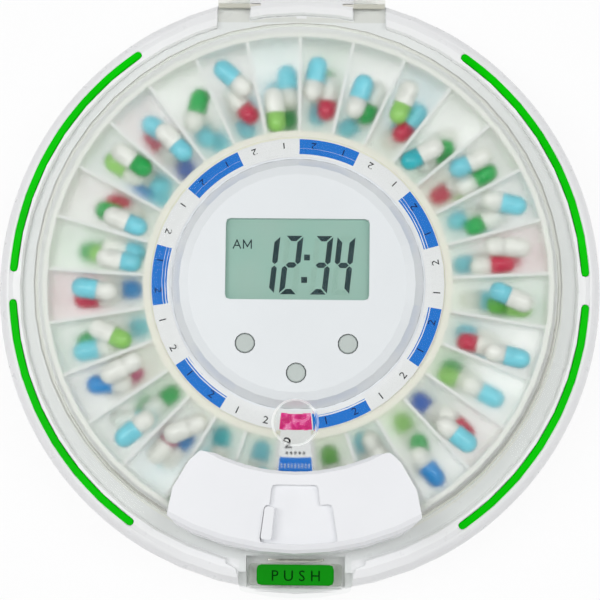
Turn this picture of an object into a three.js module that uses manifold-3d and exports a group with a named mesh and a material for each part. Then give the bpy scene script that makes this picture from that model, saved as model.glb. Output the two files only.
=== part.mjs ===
// Electronic pill box: a round 28-dose carousel dispenser with a clear hinged lid.
// Millimetres, Z up, the object stands on Z = 0 and its front (the latch) faces -Y.
import * as THREE from "three";
import { mergeVertices } from "three/addons/utils/BufferGeometryUtils.js";
import Module from "manifold-3d";

const wasm = await Module();
wasm.setup();

// Clearances
const gap = 0.3;
const slack = 0.6;
const weld = 0.001;
const overrun = 4;

// Case outline
const rimShelf = 2.8;
const rimWidth = 5.1;
const seamInset = 0.7;
const bowlWidth = 14.3;
const caseBottom = 2;
const seamHeight = 17;
const widestRise = 4;
const seatRise = 9.6;
const rimRise = 2.1;
const rimChamfer = 0.6;
const caseWall = 2;

// Tray well, pedestal and tower of the case
const lidSeatWidth = 1.5;
const wellDraft = 0.8;
const wellPlay = 1;
const deckHeight = 14.7;
const bayToPedestal = 3.9;
const roofPlay = 0.2;
const towerPlay = 2.09;

// Carousel tray
const doses = 28;
const divisions = doses + 1;
const trayWidth = 33.3;
const trayWall = 1.6;
const trayFloor = 1.4;
const flangeRise = 0.4;
const flangeOverhang = 0.6;
const flangePlay = 1.1;
const scoopWidth = 3;
const scoopDepth = 4.5;
const dividerThickness = 1;
const dividerDrop = 0.5;
const dividerSink = 0.6;
const coverThickness = 1.5;
const coverHoleMargin = 5;

// Dosage ring
const cardThickness = 0.5;
const cardWidth = 5.2;
const tabCover = 6.5;
const tabCorner = 0.6;

// Gear train
const ringTeeth = divisions * 2;
const pinionTeeth = 14;
const motorTeeth = 12;
const ringGearWall = 1.8;
const backlash = 0.28;
const ringGearThickness = 4.4;
const ringGearLift = 0.6;
const pinionThickness = 3.8;
const shaftRadius = 1.5;
const shaftPlay = 0.3;
const socketWall = 1.8;
const socketDepth = 1.8;
const socketRise = 2.1;

// Drive plate and gear motor
const plateThickness = 1.6;
const plateGap = 0.6;
const plateMargin = 10.8;
const plateFront = 18;
const legRadius = 2.2;
const legInset = 4;
const legY = 14;
const motorBossHole = 3;
const gearboxWidth = 25;
const gearboxDepth = 20;
const gearboxHeight = 4.6;
const gearboxCorner = 3;
const motorRadius = 8.6;
const motorHeight = 5.4;
const motorBore = 2.4;
const motorHeadroom = 1.4;

// Control face
const faceBevel = 2.6;
const faceLip = 2.7;
const faceEdgeDrop = 1;
const faceThickness = 1.8;
const faceProud = 4.3;
const bevelFootDrop = 4.4;
const bevelSideDrop = 5;
const skirtDrop = 6.7;
const postRadius = 1.9;
const postInset = 4;

// Display
const displayWidth = 43.4;
const displayDepth = 24.3;
const displayCorner = 1.2;
const displayInset = 14.1;
const displayRecess = 0.1;
const panelMargin = 1.6;
const panelThickness = 2.4;
const boardInset = 2.2;
const boardThickness = 1.6;

// Set buttons
const buttonRadius = 2.85;
const buttonCollar = 4.2;
const buttonCollarHeight = 0.8;
const buttonEdge = 0.3;
const sideButtonX = 15.7;
const sideButtonInset = 14.9;
const midButtonInset = 6;

// Light bars
const lightHalfWidth = 1.15;
const lightSocket = 0.15;
const lightDepth = 1.2;
const lightProud = 0.2;

// Lid
const lidThickness = 1.8;
const lidHeadroom = 1.5;
const lidDraft = 1;
const lidShoulderDrop = 3;
const lidRoundWidth = 1.6;
const flangeWidth = 4.6;
const flangeThickness = 2.2;
const flangeEdge = 0.5;
const domePlay = 1;
const domeHeadroom = 1.3;
const domeDraft = 0.5;
const domeRound = 1;
const domeFoot = 1;

// Lid hinge
const hingeRise = 0.3;
const knuckleRadius = 2.2;
const knuckleWidth = 10;
const knuckleX = 21.5;
const rodRadius = 0.8;
const rodEnd = 0.2;
const hingeBlockMargin = 4.5;
const keySlotWidth = 3.2;
const keySlotDepth = 1.2;

// Magnifier lens
const lensRadius = 7.2;
const lensOffset = 1.1;
const lensRise = 0.1;
const lensEdge = 0.7;
const lensCrown = 2.4;

// Front tongue of the lid
const tongueHalf = 17.4;
const tongueProud = 1.7;
const tongueBow = 2.1;
const tongueRootInset = 1.2;
const tongueBendInset = 6.1;
const tongueBendDrop = 0.3;
const tongueShoulderInset = 2.3;
const tongueShoulderDrop = 1.6;
const tongueNoseDrop = 4.3;
const tongueDrop = 6.3;
const tongueSkin = 1.7;
const tongueCornerWidth = 1.8;
const tongueCornerDepth = 1.2;
const tongueCornerStep = 0.3;
const windowSide = 2.4;
const windowWeb = 0.8;
const windowLip = 3.4;
const windowCorner = 0.8;

// Latch well, latch button, label and springs
const latchWellPlay = 0.4;
const latchHousingWall = 4.6;
const notchPlay = 0.4;
const notchInset = 2;
const notchFlare = 4;
const latchPlay = 0.5;
const latchNearPlay = 1.8;
const latchSink = 1.2;
const latchHeight = 4.3;
const latchCorner = 1.2;
const labelSide = 2.5;
const labelInset = 0.2;
const labelThickness = 0.9;
const labelCorner = 1.5;
const springRoom = 3.7;
const springRadius = 2.4;
const springWire = 0.28;
const wireSide = 6.1;
const wireNear = 0.8;
const wireRise = 4.9;
const wireRadius = 0.5;
const wireBend = 1.4;

// Front panel
const lensToPanel = 7.6;
const panelRise = 3.2;
const panelEdge = 1;
const panelSkin = 1.1;
const panelFoot = 0.4;
const panelInnerCorner = 5.5;
const panelOuterCorner = 11;

// Dispensing door and its openings
const doorInset = 2.4;
const doorMargin = 0.7;
const doorThickness = 1;
const doorCorner = 1;
const pocketDrop = 1;
const openingInset = 1.8;
const openingStepLength = 6.3;
const openingMargin = 1;
const openingCorner = 1.2;
const chuteInset = 1.1;
const chuteMargin = 1.8;
const ridgeInset = 0.4;
const ridgeMargin = 1.1;
const ridgeRise = 1.8;
const ridgeCorner = 0.9;

// Battery bay, cells, contacts and door
const cellCount = 4;
const cellRadius = 7.05;
const cellLength = 48.6;
const cellSpacing = 0.5;
const cellShoulder = 0.5;
const studRadius = 2.7;
const studLength = 1.4;
const cellFloorPlay = 0.35;
const cellRoofPlay = 0.45;
const cellEndPlay = 0.35;
const bayCorner = 4.6;
const bayWall = 1.4;
const stripThickness = 0.5;
const stripHalfHeight = 5;
const contactRadius = 2.6;
const contactStud = 0.8;
const contactSpring = 3.5;
const contactSpringTip = 1.6;
const doorPlate = 1.5;
const doorPivotInset = 1.1;
const doorPinRadius = 0.5;
const doorPinLength = 1;
const doorNotchRadius = 5;

// Feet, screw bosses and speaker
const footRadius = 6;
const footInset = 10;
const footRecess = 1;
const footChamfer = 0.5;
const bossRadius = 3.5;
const bossBore = 1.6;
const bossInset = 20;
const speakerInset = 20;
const speakerRadius = 14;
const speakerHeight = 5;
const speakerMagnet = 8;
const speakerMagnetHeight = 2;
const speakerWall = 1.2;
const speakerWallHeight = 2.4;
const grilleSlot = 1.6;
const grillePitch = 3.6;
const grilleReach = 10;

// Counts and angles in degrees
const turns = 48;
const rimSteps = 3;
const bowlSteps = 4;
const bowlInnerSteps = 2;
const roundSteps = 3;
const cornerSteps = 2;
const faceTurns = 36;
const lensTurns = 24;
const smallTurns = 14;
const tinyTurns = 8;
const flankSteps = 2;
const ringFlankSteps = 1;
const pressureAngle = 20;
const addendumShare = 0.8;
const dedendumShare = 1;
const divisionAngle = 360 / divisions;
const front = -90;
const tabHalfAngle = 5.5;
const coverHoleAngle = 4.2;
const lightSpan = 52.8;
const lightBreak = 5.6;
const lightStarts = [-lightBreak / 2 - lightSpan, lightBreak / 2];
const lightAngles = [...lightStarts, ...lightStarts.map((angle) => angle + 180)];
const postAngles = [0, 90, 180, 250, 290];
const footAngles = [45, 135, 225, 315];
const bossAngles = [22, 158, 202, 338];
const panelHalfAngle = 30.5;
const doorLow = -9;
const doorHigh = 11;
const pocketHigh = 27;
const pocketPlay = 0.5;
const openingLow = -7.6;
const openingHigh = 9.6;
const openingStepLow = -6.4;
const openingStepHigh = 6.6;
const chuteHalfAngle = 5.7;
const ridgeLow = -7.4;
const ridgeHigh = -5;
const springCoils = 2.5;
const coilSteps = 24;
const wireSides = 5;
const wireSteps = 12;
const grilleSlots = 5;

// The four cells set the battery bay, and the bay sets the pedestal over it.
const cellPitch = cellRadius * 2 + cellSpacing;
const bayHalfWidth = (cellCount * cellPitch) / 2 + slack;
const contactRoom = (contactSpring + contactStud) / 2 + stripThickness + cellEndPlay;
const bayHalfDepth = (cellLength + studLength) / 2 + contactRoom + gap;
const cellAxis = caseBottom + doorPlate + cellFloorPlay + cellRadius;
const bayCeiling = cellAxis + cellRadius + cellRoofPlay;
const bayRoof = bayCeiling + bayWall;
const doorPivotY = bayHalfDepth - doorPivotInset;
const pedestalRadius = Math.hypot(bayHalfWidth, bayHalfDepth) + bayToPedestal;
const pedestalHeight = bayRoof + caseWall + roofPlay;

// The pedestal sets the ring gear, and the gears set the tower and its face.
const trayInnerRadius = pedestalRadius + slack;
const ringGearRadius = trayInnerRadius - gap;
const ringRootRadius = ringGearRadius - ringGearWall;
const gearModule = ringRootRadius / (ringTeeth / 2 + dedendumShare);
const ringTipRadius = gearModule * (ringTeeth / 2 - addendumShare);
const pinionCircle = (gearModule * (ringTeeth - pinionTeeth)) / 2;
const motorCircle = pinionCircle - (gearModule * (pinionTeeth + motorTeeth)) / 2;
const towerRadius = ringTipRadius - towerPlay;
const faceEdgeRadius = towerRadius - faceBevel;
const faceRadius = faceEdgeRadius - faceLip;
const boardRadius = faceEdgeRadius - boardInset;
const postCircle = boardRadius - postInset;
const displayFar = faceRadius - displayInset;
const displayNear = displayFar - displayDepth;
const sideButtonY = sideButtonInset - faceRadius;
const midButtonY = midButtonInset - faceRadius;
const plateHalfWidth = towerRadius - plateMargin;
const legX = plateHalfWidth - legInset;
const socketRadius = shaftRadius + shaftPlay + socketWall;
const socketTop = bayRoof + socketRise;

// From the tray outwards to the lid, the rim and the case
const trayOuterRadius = trayInnerRadius + trayWidth;
const wellBottomRadius = trayOuterRadius + wellPlay;
const wellTopRadius = wellBottomRadius + wellDraft;
const wellOuterTop = wellTopRadius + caseWall;
const lidWallRadius = wellTopRadius + lidSeatWidth;
const lidShoulderRadius = lidWallRadius - lidDraft;
const flangeRadius = lidWallRadius + flangeWidth;
const rimInnerRadius = flangeRadius + gap;
const crownRadius = rimInnerRadius + rimShelf;
const bodyRadius = crownRadius + rimWidth;
const seamRadius = bodyRadius - seamInset;
const baseRadius = seamRadius - bowlWidth;
const footCircle = baseRadius - footInset;
const bossCircle = baseRadius - bossInset;
const speakerX = speakerInset - baseRadius;

// From the tower outwards to the dosage ring, the dome, the lens and the front panel
const flangeInnerRadius = towerRadius + flangePlay;
const cardOuterRadius = flangeInnerRadius + cardWidth;
const domeRadius = towerRadius + domePlay + lidThickness;
const lensCircle = domeRadius + lensOffset;
const panelInnerRadius = lensCircle + lensRadius + lensToPanel;
const tabReach = panelInnerRadius + tabCover;
const doorInnerRadius = panelInnerRadius + doorInset;
const doorOuterRadius = lidShoulderRadius - doorMargin;
const openingInnerRadius = doorInnerRadius + openingInset;
const openingStepRadius = openingInnerRadius + openingStepLength;
const openingOuterRadius = doorOuterRadius - openingMargin;
const chuteInnerRadius = doorInnerRadius + chuteInset;
const chuteOuterRadius = doorOuterRadius - chuteMargin;
const ridgeInnerRadius = openingStepRadius + ridgeInset;
const ridgeOuterRadius = openingOuterRadius - ridgeMargin;

// Heights from the gears up to the control face
const ringGearBottom = pedestalHeight + ringGearLift;
const pinionBottom = ringGearBottom + gap;
const pinionTop = pinionBottom + pinionThickness;
const plateBottom = pinionTop + plateGap;
const plateTop = plateBottom + plateThickness;
const motorBottom = plateTop + gap;
const gearboxTop = motorBottom + gearboxHeight;
const boardTop = gearboxTop + motorHeight + motorHeadroom + boardThickness;
const displayPanelTop = boardTop + gap + panelThickness;
const faceUnderside = displayPanelTop + gap;
const faceHeight = faceUnderside + faceThickness;
const bevelFoot = faceHeight - bevelFootDrop;
const bevelSide = faceHeight - bevelSideDrop;
const skirtBottom = faceHeight - skirtDrop;
const towerHeight = skirtBottom - gap;

// The face sets the tray's top, and the tray and the face set the lid over them.
const cardTop = faceHeight - faceProud;
const cardBottom = cardTop - cardThickness;
const flangeTop = cardBottom - gap;
const trayTop = flangeTop - flangeRise;
const trayBottom = deckHeight + gap;
const lidUnderside = cardTop + lidHeadroom;
const lidTop = lidUnderside + lidThickness;
const lidShoulderHeight = lidTop - lidShoulderDrop;
const domeHeight = faceHeight + domeHeadroom + lidThickness;
const lensSeat = domeHeight + lensRise;
const panelBottom = lidTop + gap;
const panelTop = lidTop + panelRise;
const ridgeTop = panelTop + ridgeRise;

// Heights of the rim, the hinge, the tongue and the latch
const widestHeight = seamHeight + widestRise;
const seatHeight = seamHeight + seatRise;
const rimHeight = seatHeight + rimRise;
const lidSeat = seatHeight + gap;
const flangeUpper = lidSeat + flangeThickness;
const hingeHeight = lidSeat + hingeRise;
const tongueNose = flangeUpper - tongueNoseDrop;
const tongueBottom = flangeUpper - tongueDrop;
const notchFloor = tongueBottom - slack;
const latchTop = rimHeight - latchSink;
const latchBottom = latchTop - latchHeight;
const latchWellFloor = latchBottom - springRoom;
const wireHeight = latchWellFloor + wireRise;
const caseFloor = caseBottom + caseWall;

// Places along and across the hinge, the tongue and the latch
const hingeY = crownRadius;
const hingeBlockHalf = knuckleX + knuckleWidth / 2 + hingeBlockMargin;
const tongueReach = bodyRadius + tongueProud;
const tongueCornerReach = tongueReach - tongueBow;
const tongueShoulder = tongueReach - tongueShoulderInset;
const tongueBend = tongueReach - tongueBendInset;
const tongueRoot = lidWallRadius + tongueRootInset;
const windowNear = tongueRoot + windowWeb;
const windowFar = tongueReach - windowLip;
const windowHalf = tongueHalf - windowSide;
const latchWellNear = windowNear - slack;
const latchWellFar = windowFar + gap;
const latchWellHalf = windowHalf + latchWellPlay;
const latchHousingHalf = latchWellHalf + latchHousingWall;
const notchNear = tongueBend - notchInset;
const notchHalf = tongueHalf + notchPlay;
const latchNear = windowNear + latchNearPlay;
const latchFar = windowFar - latchPlay;
const latchHalf = windowHalf - latchPlay;
const labelHalf = latchHalf - labelSide;
const wireHalf = latchHalf - wireSide;
const wireY = windowNear + wireNear;

// Geometry helpers
function radians(degrees) {
  return THREE.MathUtils.degToRad(degrees);
}

function polar(radius, degrees) {
  return new THREE.Vector2(radius * Math.cos(radians(degrees)), radius * Math.sin(radians(degrees)));
}

// Points of an elliptical arc in a profile, as [radius, height] pairs.
function profileArc(centreRadius, centreHeight, width, rise, fromAngle, toAngle, steps) {
  const points = [];
  for (let step = 0; step <= steps; step += 1) {
    const angle = radians(fromAngle + ((toAngle - fromAngle) * step) / steps);
    points.push([centreRadius + width * Math.cos(angle), centreHeight + rise * Math.sin(angle)]);
  }
  return points;
}

// Turns a profile of [radius, height] pairs about the upright axis.
function turned(profile, segments) {
  const points = profile.map(([radius, height]) => new THREE.Vector2(radius, height));
  if (THREE.ShapeUtils.isClockWise(points)) points.reverse();
  if (points[0].x > 0) points.push(points[0].clone());
  return new THREE.LatheGeometry(points, segments).rotateX(Math.PI / 2);
}

// Extrudes a plan outline between two heights.
function prism(shape, low, high, curveSegments = cornerSteps) {
  const options = { depth: high - low, bevelEnabled: false, curveSegments };
  return new THREE.ExtrudeGeometry(shape, options).translate(0, 0, low);
}

function block(left, right, near, far, low, high) {
  const geometry = new THREE.BoxGeometry(right - left, far - near, high - low);
  return geometry.translate((left + right) / 2, (near + far) / 2, (low + high) / 2);
}

// An upright round bar.
function bar(x, y, radius, low, high, segments = tinyTurns) {
  const geometry = new THREE.CylinderGeometry(radius, radius, high - low, segments);
  return geometry.rotateX(Math.PI / 2).translate(x, y, (low + high) / 2);
}

// A round bar along X.
function crossBar(left, right, y, height, radius, segments = tinyTurns) {
  const geometry = new THREE.CylinderGeometry(radius, radius, right - left, segments);
  return geometry.rotateZ(Math.PI / 2).translate((left + right) / 2, y, height);
}

function aroundAxis(geometry, degrees) {
  return geometry.rotateZ(radians(degrees));
}

// A ring sector with rounded corners; angles run from the front, counter-clockwise.
function roundedSector(inner, outer, low, high, innerCorner, outerCorner) {
  const innerTurn = THREE.MathUtils.radToDeg(innerCorner / inner);
  const outerTurn = THREE.MathUtils.radToDeg(outerCorner / outer);
  const start = front + low;
  const end = front + high;
  const shape = new THREE.Shape();
  const curveTo = (control, target) => {
    shape.quadraticCurveTo(control.x, control.y, target.x, target.y);
  };
  const first = polar(outer, start + outerTurn);
  shape.moveTo(first.x, first.y);
  arcPoints(outer, start + outerTurn, end - outerTurn).forEach((p) => shape.lineTo(p.x, p.y));
  curveTo(polar(outer, end), polar(outer - outerCorner, end));
  const inward = polar(inner + innerCorner, end);
  shape.lineTo(inward.x, inward.y);
  curveTo(polar(inner, end), polar(inner, end - innerTurn));
  arcPoints(inner, end - innerTurn, start + innerTurn).forEach((p) => shape.lineTo(p.x, p.y));
  curveTo(polar(inner, start), polar(inner + innerCorner, start));
  const outward = polar(outer - outerCorner, start);
  shape.lineTo(outward.x, outward.y);
  curveTo(polar(outer, start), first);
  return shape;
}

// Points after the first on an arc about the centre, one for each facet of the big rounds.
function arcPoints(radius, fromAngle, toAngle) {
  const steps = Math.max(1, Math.round((Math.abs(toAngle - fromAngle) * turns) / 360));
  const points = [];
  for (let step = 1; step <= steps; step += 1) {
    points.push(polar(radius, fromAngle + ((toAngle - fromAngle) * step) / steps));
  }
  return points;
}

function roundedRectangle(left, right, near, far, corner) {
  const shape = new THREE.Shape();
  shape.moveTo(left + corner, near);
  shape.lineTo(right - corner, near);
  shape.quadraticCurveTo(right, near, right, near + corner);
  shape.lineTo(right, far - corner);
  shape.quadraticCurveTo(right, far, right - corner, far);
  shape.lineTo(left + corner, far);
  shape.quadraticCurveTo(left, far, left, far - corner);
  shape.lineTo(left, near + corner);
  shape.quadraticCurveTo(left, near, left + corner, near);
  return shape;
}

function solid(geometry) {
  const bare = geometry.clone();
  bare.deleteAttribute("normal");
  bare.deleteAttribute("uv");
  const merged = mergeVertices(bare, weld);
  const vertProperties = merged.attributes.position.array;
  const triVerts = new Uint32Array(merged.index.array);
  return new wasm.Manifold(new wasm.Mesh({ numProp: 3, vertProperties, triVerts }));
}

function joined(...geometries) {
  return geometries.map(solid).reduce((whole, piece) => whole.add(piece));
}

function cut(body, ...geometries) {
  return geometries.map(solid).reduce((whole, piece) => whole.subtract(piece), body);
}

function geometryOf(body) {
  const mesh = body.getMesh();
  const geometry = new THREE.BufferGeometry();
  geometry.setAttribute("position", new THREE.BufferAttribute(mesh.vertProperties, mesh.numProp));
  geometry.setIndex(new THREE.BufferAttribute(mesh.triVerts, 1));
  geometry.computeVertexNormals();
  return geometry;
}

// Materials
function whitePlastic() {
  return new THREE.MeshStandardMaterial({ color: 0xe9edf1, roughness: 0.35, metalness: 0 });
}

function clearPlastic() {
  const look = { color: 0xdfe8e2, roughness: 0.12, metalness: 0, transparent: true, opacity: 0.3 };
  return new THREE.MeshStandardMaterial(look);
}

function milkyPlastic() {
  return new THREE.MeshStandardMaterial({ color: 0xe4eae2, roughness: 0.4, metalness: 0 });
}

function greenPlastic() {
  return new THREE.MeshStandardMaterial({ color: 0x0fae1c, roughness: 0.3, metalness: 0 });
}

function greyPlastic() {
  return new THREE.MeshStandardMaterial({ color: 0xc8d0cc, roughness: 0.45, metalness: 0 });
}

function acetal() {
  return new THREE.MeshStandardMaterial({ color: 0xf2efe4, roughness: 0.4, metalness: 0 });
}

function displayGrey() {
  return new THREE.MeshStandardMaterial({ color: 0x93b2a5, roughness: 0.3, metalness: 0 });
}

function printedCard() {
  return new THREE.MeshStandardMaterial({ color: 0x1f63c4, roughness: 0.5, metalness: 0 });
}

function boardGreen() {
  return new THREE.MeshStandardMaterial({ color: 0x1d6b3c, roughness: 0.5, metalness: 0.1 });
}

function blackRubber() {
  return new THREE.MeshStandardMaterial({ color: 0x2b2c2e, roughness: 0.9, metalness: 0 });
}

function steel() {
  return new THREE.MeshStandardMaterial({ color: 0xb9bcc0, roughness: 0.3, metalness: 1 });
}

function springSteel() {
  return new THREE.MeshStandardMaterial({ color: 0xb7a684, roughness: 0.35, metalness: 1 });
}

function cellWrap() {
  return new THREE.MeshStandardMaterial({ color: 0x3a4450, roughness: 0.3, metalness: 0.4 });
}

// Case halves
function rimProfile() {
  return [
    [seamRadius, seamHeight + gap / 2],
    ...profileArc(crownRadius, widestHeight, rimWidth, rimHeight - widestHeight, 0, 90, rimSteps),
    [rimInnerRadius + rimChamfer, rimHeight],
    [rimInnerRadius, rimHeight - rimChamfer],
    [rimInnerRadius, seatHeight],
  ];
}

function upperShell() {
  return turned(
    [
      ...rimProfile(),
      [wellTopRadius, seatHeight],
      [wellBottomRadius, deckHeight],
      [pedestalRadius, deckHeight],
      [pedestalRadius, pedestalHeight],
      [towerRadius, pedestalHeight],
      [towerRadius, towerHeight],
      [towerRadius - caseWall, towerHeight],
      [towerRadius - caseWall, pedestalHeight - caseWall],
      [pedestalRadius - caseWall, pedestalHeight - caseWall],
      [pedestalRadius - caseWall, deckHeight - caseWall],
      [wellBottomRadius + caseWall, deckHeight - caseWall],
      [wellOuterTop, seatHeight - caseWall],
      [crownRadius, seatHeight - caseWall],
      [seamRadius - caseWall, seamHeight + gap / 2],
    ],
    turns,
  );
}

// Solid blocks inside the rim, for the latch well and the hinge.
function rimBlocks() {
  const inside = [
    [wellOuterTop, seatHeight],
    [wellOuterTop, seamHeight + gap / 2],
  ];
  const filled = solid(turned([...rimProfile(), ...inside], turns));
  const low = seamHeight - gap;
  const high = rimHeight + gap;
  const near = wellOuterTop - slack;
  const latch = block(-latchHousingHalf, latchHousingHalf, -bodyRadius, -near, low, high);
  const hinge = block(-hingeBlockHalf, hingeBlockHalf, near, bodyRadius, widestHeight, high);
  return filled.intersect(joined(latch, hinge));
}

// The notch in front of the latch well opens into the rim with flared corners.
function notchOutline() {
  const shape = new THREE.Shape();
  const wide = notchHalf + notchFlare;
  const throat = notchNear + notchFlare / 2;
  const mouth = rimInnerRadius - notchFlare;
  shape.moveTo(-notchHalf, -bodyRadius - overrun);
  shape.lineTo(notchHalf, -bodyRadius - overrun);
  shape.lineTo(notchHalf, -throat);
  shape.quadraticCurveTo(notchHalf, -throat + notchFlare, wide, -throat + notchFlare + slack);
  shape.lineTo(wide, -mouth);
  shape.lineTo(-wide, -mouth);
  shape.lineTo(-wide, -throat + notchFlare + slack);
  shape.quadraticCurveTo(-notchHalf, -throat + notchFlare, -notchHalf, -throat);
  return shape;
}

function latchCuts() {
  const high = rimHeight + overrun;
  const outside = -bodyRadius - overrun;
  return [
    block(-latchWellHalf, latchWellHalf, -latchWellFar, -latchWellNear, latchWellFloor, high),
    block(-notchHalf, notchHalf, outside, -notchNear, notchFloor, high),
    prism(notchOutline(), seatHeight, high),
  ];
}

function hingeCuts() {
  const half = knuckleWidth / 2 + gap;
  const high = rimHeight + overrun;
  const outside = bodyRadius + overrun;
  const floor = hingeHeight - knuckleRadius - gap;
  const cuts = [];
  for (const x of [-knuckleX, knuckleX]) {
    cuts.push(block(x - half, x + half, wellTopRadius, outside, seatHeight, high));
    cuts.push(block(x - half, x + half, hingeY - knuckleRadius - gap, outside, floor, high));
  }
  cuts.push(crossBar(-rodHalf() - gap, rodHalf() + gap, hingeY, hingeHeight, rodRadius + shaftPlay));
  return cuts;
}

function rodHalf() {
  return knuckleX + knuckleWidth / 2 - rodEnd;
}

function lightOutline(index, margin) {
  const inner = crownRadius - lightHalfWidth - margin;
  const outer = crownRadius + lightHalfWidth + margin;
  const turn = THREE.MathUtils.radToDeg(margin / crownRadius);
  const low = lightAngles[index] - front;
  const corner = lightHalfWidth + margin;
  return roundedSector(inner, outer, low - turn, low + lightSpan + turn, corner, corner);
}

function lightGroove(index) {
  return prism(lightOutline(index, lightSocket), rimHeight - lightDepth - lightSocket, rimHeight + overrun);
}

function pinionWindow() {
  const reach = (gearModule * pinionTeeth) / 2 + gearModule;
  const inside = towerRadius - caseWall * 2;
  return block(-reach, reach, inside, towerRadius + slack, pedestalHeight + gap, plateBottom);
}

function upperCase() {
  const shell = solid(upperShell()).add(rimBlocks());
  const grooves = lightAngles.map((angle, index) => lightGroove(index));
  return cut(shell, ...latchCuts(), ...hingeCuts(), ...grooves, pinionWindow());
}

function bowl() {
  const top = seamHeight - gap / 2;
  const rise = seamHeight - caseBottom;
  const innerWidth = bowlWidth - caseWall;
  const innerRise = rise - caseWall;
  return turned(
    [
      [0, caseBottom],
      ...profileArc(baseRadius, seamHeight, bowlWidth, rise, -90, 0, bowlSteps).slice(0, -1),
      [seamRadius, top],
      [seamRadius - caseWall, top],
      ...profileArc(baseRadius, seamHeight, innerWidth, innerRise, 0, -90, bowlInnerSteps).slice(1),
      [0, caseFloor],
    ],
    turns,
  );
}

function bayOutline(margin) {
  const width = bayHalfWidth + margin;
  const depth = bayHalfDepth + margin;
  return roundedRectangle(-width, width, -depth, depth, bayCorner + margin);
}

function screwBosses() {
  return bossAngles.map((angle) => {
    const at = polar(bossCircle, angle);
    return bar(at.x, at.y, bossRadius, caseBottom + gap, deckHeight - caseWall - gap);
  });
}

function screwHoles() {
  return bossAngles.map((angle) => {
    const at = polar(bossCircle, angle);
    return bar(at.x, at.y, bossBore, caseBottom - gap, deckHeight - caseWall);
  });
}

function speakerRing() {
  const inner = speakerRadius + gap;
  const low = caseFloor - slack;
  const high = caseFloor + speakerWallHeight;
  const profile = [
    [inner, low],
    [inner + speakerWall, low],
    [inner + speakerWall, high],
    [inner, high],
  ];
  return turned(profile, smallTurns).translate(speakerX, 0, 0);
}

function grilleCuts() {
  const slots = [];
  for (let index = 0; index < grilleSlots; index += 1) {
    const offset = (index - (grilleSlots - 1) / 2) * grillePitch;
    const reach = Math.sqrt(grilleReach * grilleReach - offset * offset);
    const left = speakerX - reach;
    const right = speakerX + reach;
    const near = offset - grilleSlot / 2;
    slots.push(block(left, right, near, near + grilleSlot, caseBottom - gap, caseFloor + gap));
  }
  return slots;
}

function footRecesses() {
  return footAngles.map((angle) => {
    const at = polar(footCircle, angle);
    return bar(at.x, at.y, footRadius + gap, caseBottom - gap, caseBottom + footRecess, smallTurns);
  });
}

function doorPivotHoles() {
  const reach = bayHalfWidth + doorPinLength;
  return crossBar(-reach, reach, doorPivotY, doorPivotHeight(), doorPinRadius + gap);
}

function doorPivotHeight() {
  return caseBottom + doorPlate / 2;
}

function lowerCase() {
  const bay = prism(bayOutline(bayWall), caseBottom + gap, bayRoof);
  const socket = bar(0, pinionCircle, socketRadius, caseFloor - slack, socketTop, smallTurns);
  const whole = joined(bowl(), bay, socket, ...screwBosses(), speakerRing());
  const hollow = prism(bayOutline(0), caseBottom - overrun, bayCeiling);
  const bore = bar(0, pinionCircle, shaftRadius + shaftPlay, socketTop - socketDepth, socketTop + gap);
  return cut(whole, hollow, bore, doorPivotHoles(), ...screwHoles(), ...grilleCuts(), ...footRecesses());
}

function foot(angle) {
  const at = polar(footCircle, angle);
  const top = caseBottom + footRecess - gap;
  const profile = [
    [0, 0],
    [footRadius - footChamfer, 0],
    [footRadius, footChamfer],
    [footRadius, top],
    [0, top],
  ];
  return turned(profile, smallTurns).translate(at.x, at.y, 0);
}

function lightBar(index) {
  return prism(lightOutline(index, 0), rimHeight - lightDepth, rimHeight + lightProud);
}

// Carousel
function trayShell() {
  const wallInner = trayInnerRadius + trayWall;
  const wallOuter = trayOuterRadius - trayWall;
  const floorTop = trayBottom + trayFloor;
  const flangeLow = flangeTop - coverThickness;
  return turned(
    [
      [trayInnerRadius, trayBottom],
      [trayOuterRadius - scoopWidth / 2, trayBottom],
      [trayOuterRadius - dividerSink, trayBottom + scoopDepth],
      [trayOuterRadius, trayTop],
      [wallOuter, trayTop],
      [wallOuter - dividerSink, trayBottom + scoopDepth],
      [wallOuter - scoopWidth, floorTop],
      [wallInner, floorTop],
      [wallInner + flangeOverhang, flangeTop],
      [flangeInnerRadius, flangeTop],
      [flangeInnerRadius, flangeLow],
      [trayInnerRadius, flangeLow],
    ],
    turns,
  );
}

function divider(index) {
  const inner = trayInnerRadius + trayWall / 2;
  const outer = trayOuterRadius - trayWall / 2 - dividerSink;
  const half = dividerThickness / 2;
  const plate = block(inner, outer, -half, half, trayBottom + trayFloor / 2, trayTop - dividerDrop);
  return aroundAxis(plate, front + (index + 0.5) * divisionAngle);
}

function startCover() {
  const inner = trayInnerRadius + trayWall / 2;
  const outer = trayOuterRadius - trayWall / 2;
  const half = divisionAngle / 2;
  return prism(roundedSector(inner, outer, -half, half, weld, weld), flangeTop - coverThickness, flangeTop);
}

function pillTray() {
  const dividers = Array.from({ length: divisions }, (unused, index) => divider(index));
  const inner = trayInnerRadius + trayWall + coverHoleMargin;
  const outer = trayOuterRadius - trayWall - scoopWidth - coverHoleMargin;
  const hole = roundedSector(inner, outer, -coverHoleAngle, coverHoleAngle, tabCorner, tabCorner);
  const drain = prism(hole, trayBottom - overrun, trayBottom + trayFloor + gap);
  return cut(joined(trayShell(), startCover(), ...dividers), drain);
}

function dosageRing() {
  const profile = [
    [flangeInnerRadius, cardBottom],
    [cardOuterRadius, cardBottom],
    [cardOuterRadius, cardTop],
    [flangeInnerRadius, cardTop],
  ];
  const inner = (flangeInnerRadius + cardOuterRadius) / 2;
  const tab = roundedSector(inner, tabReach, -tabHalfAngle, tabHalfAngle, tabCorner, tabCorner);
  return joined(turned(profile, turns), prism(tab, cardBottom, cardTop));
}

// Gears with involute flanks
function involute(angle) {
  return Math.tan(angle) - angle;
}

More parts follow.
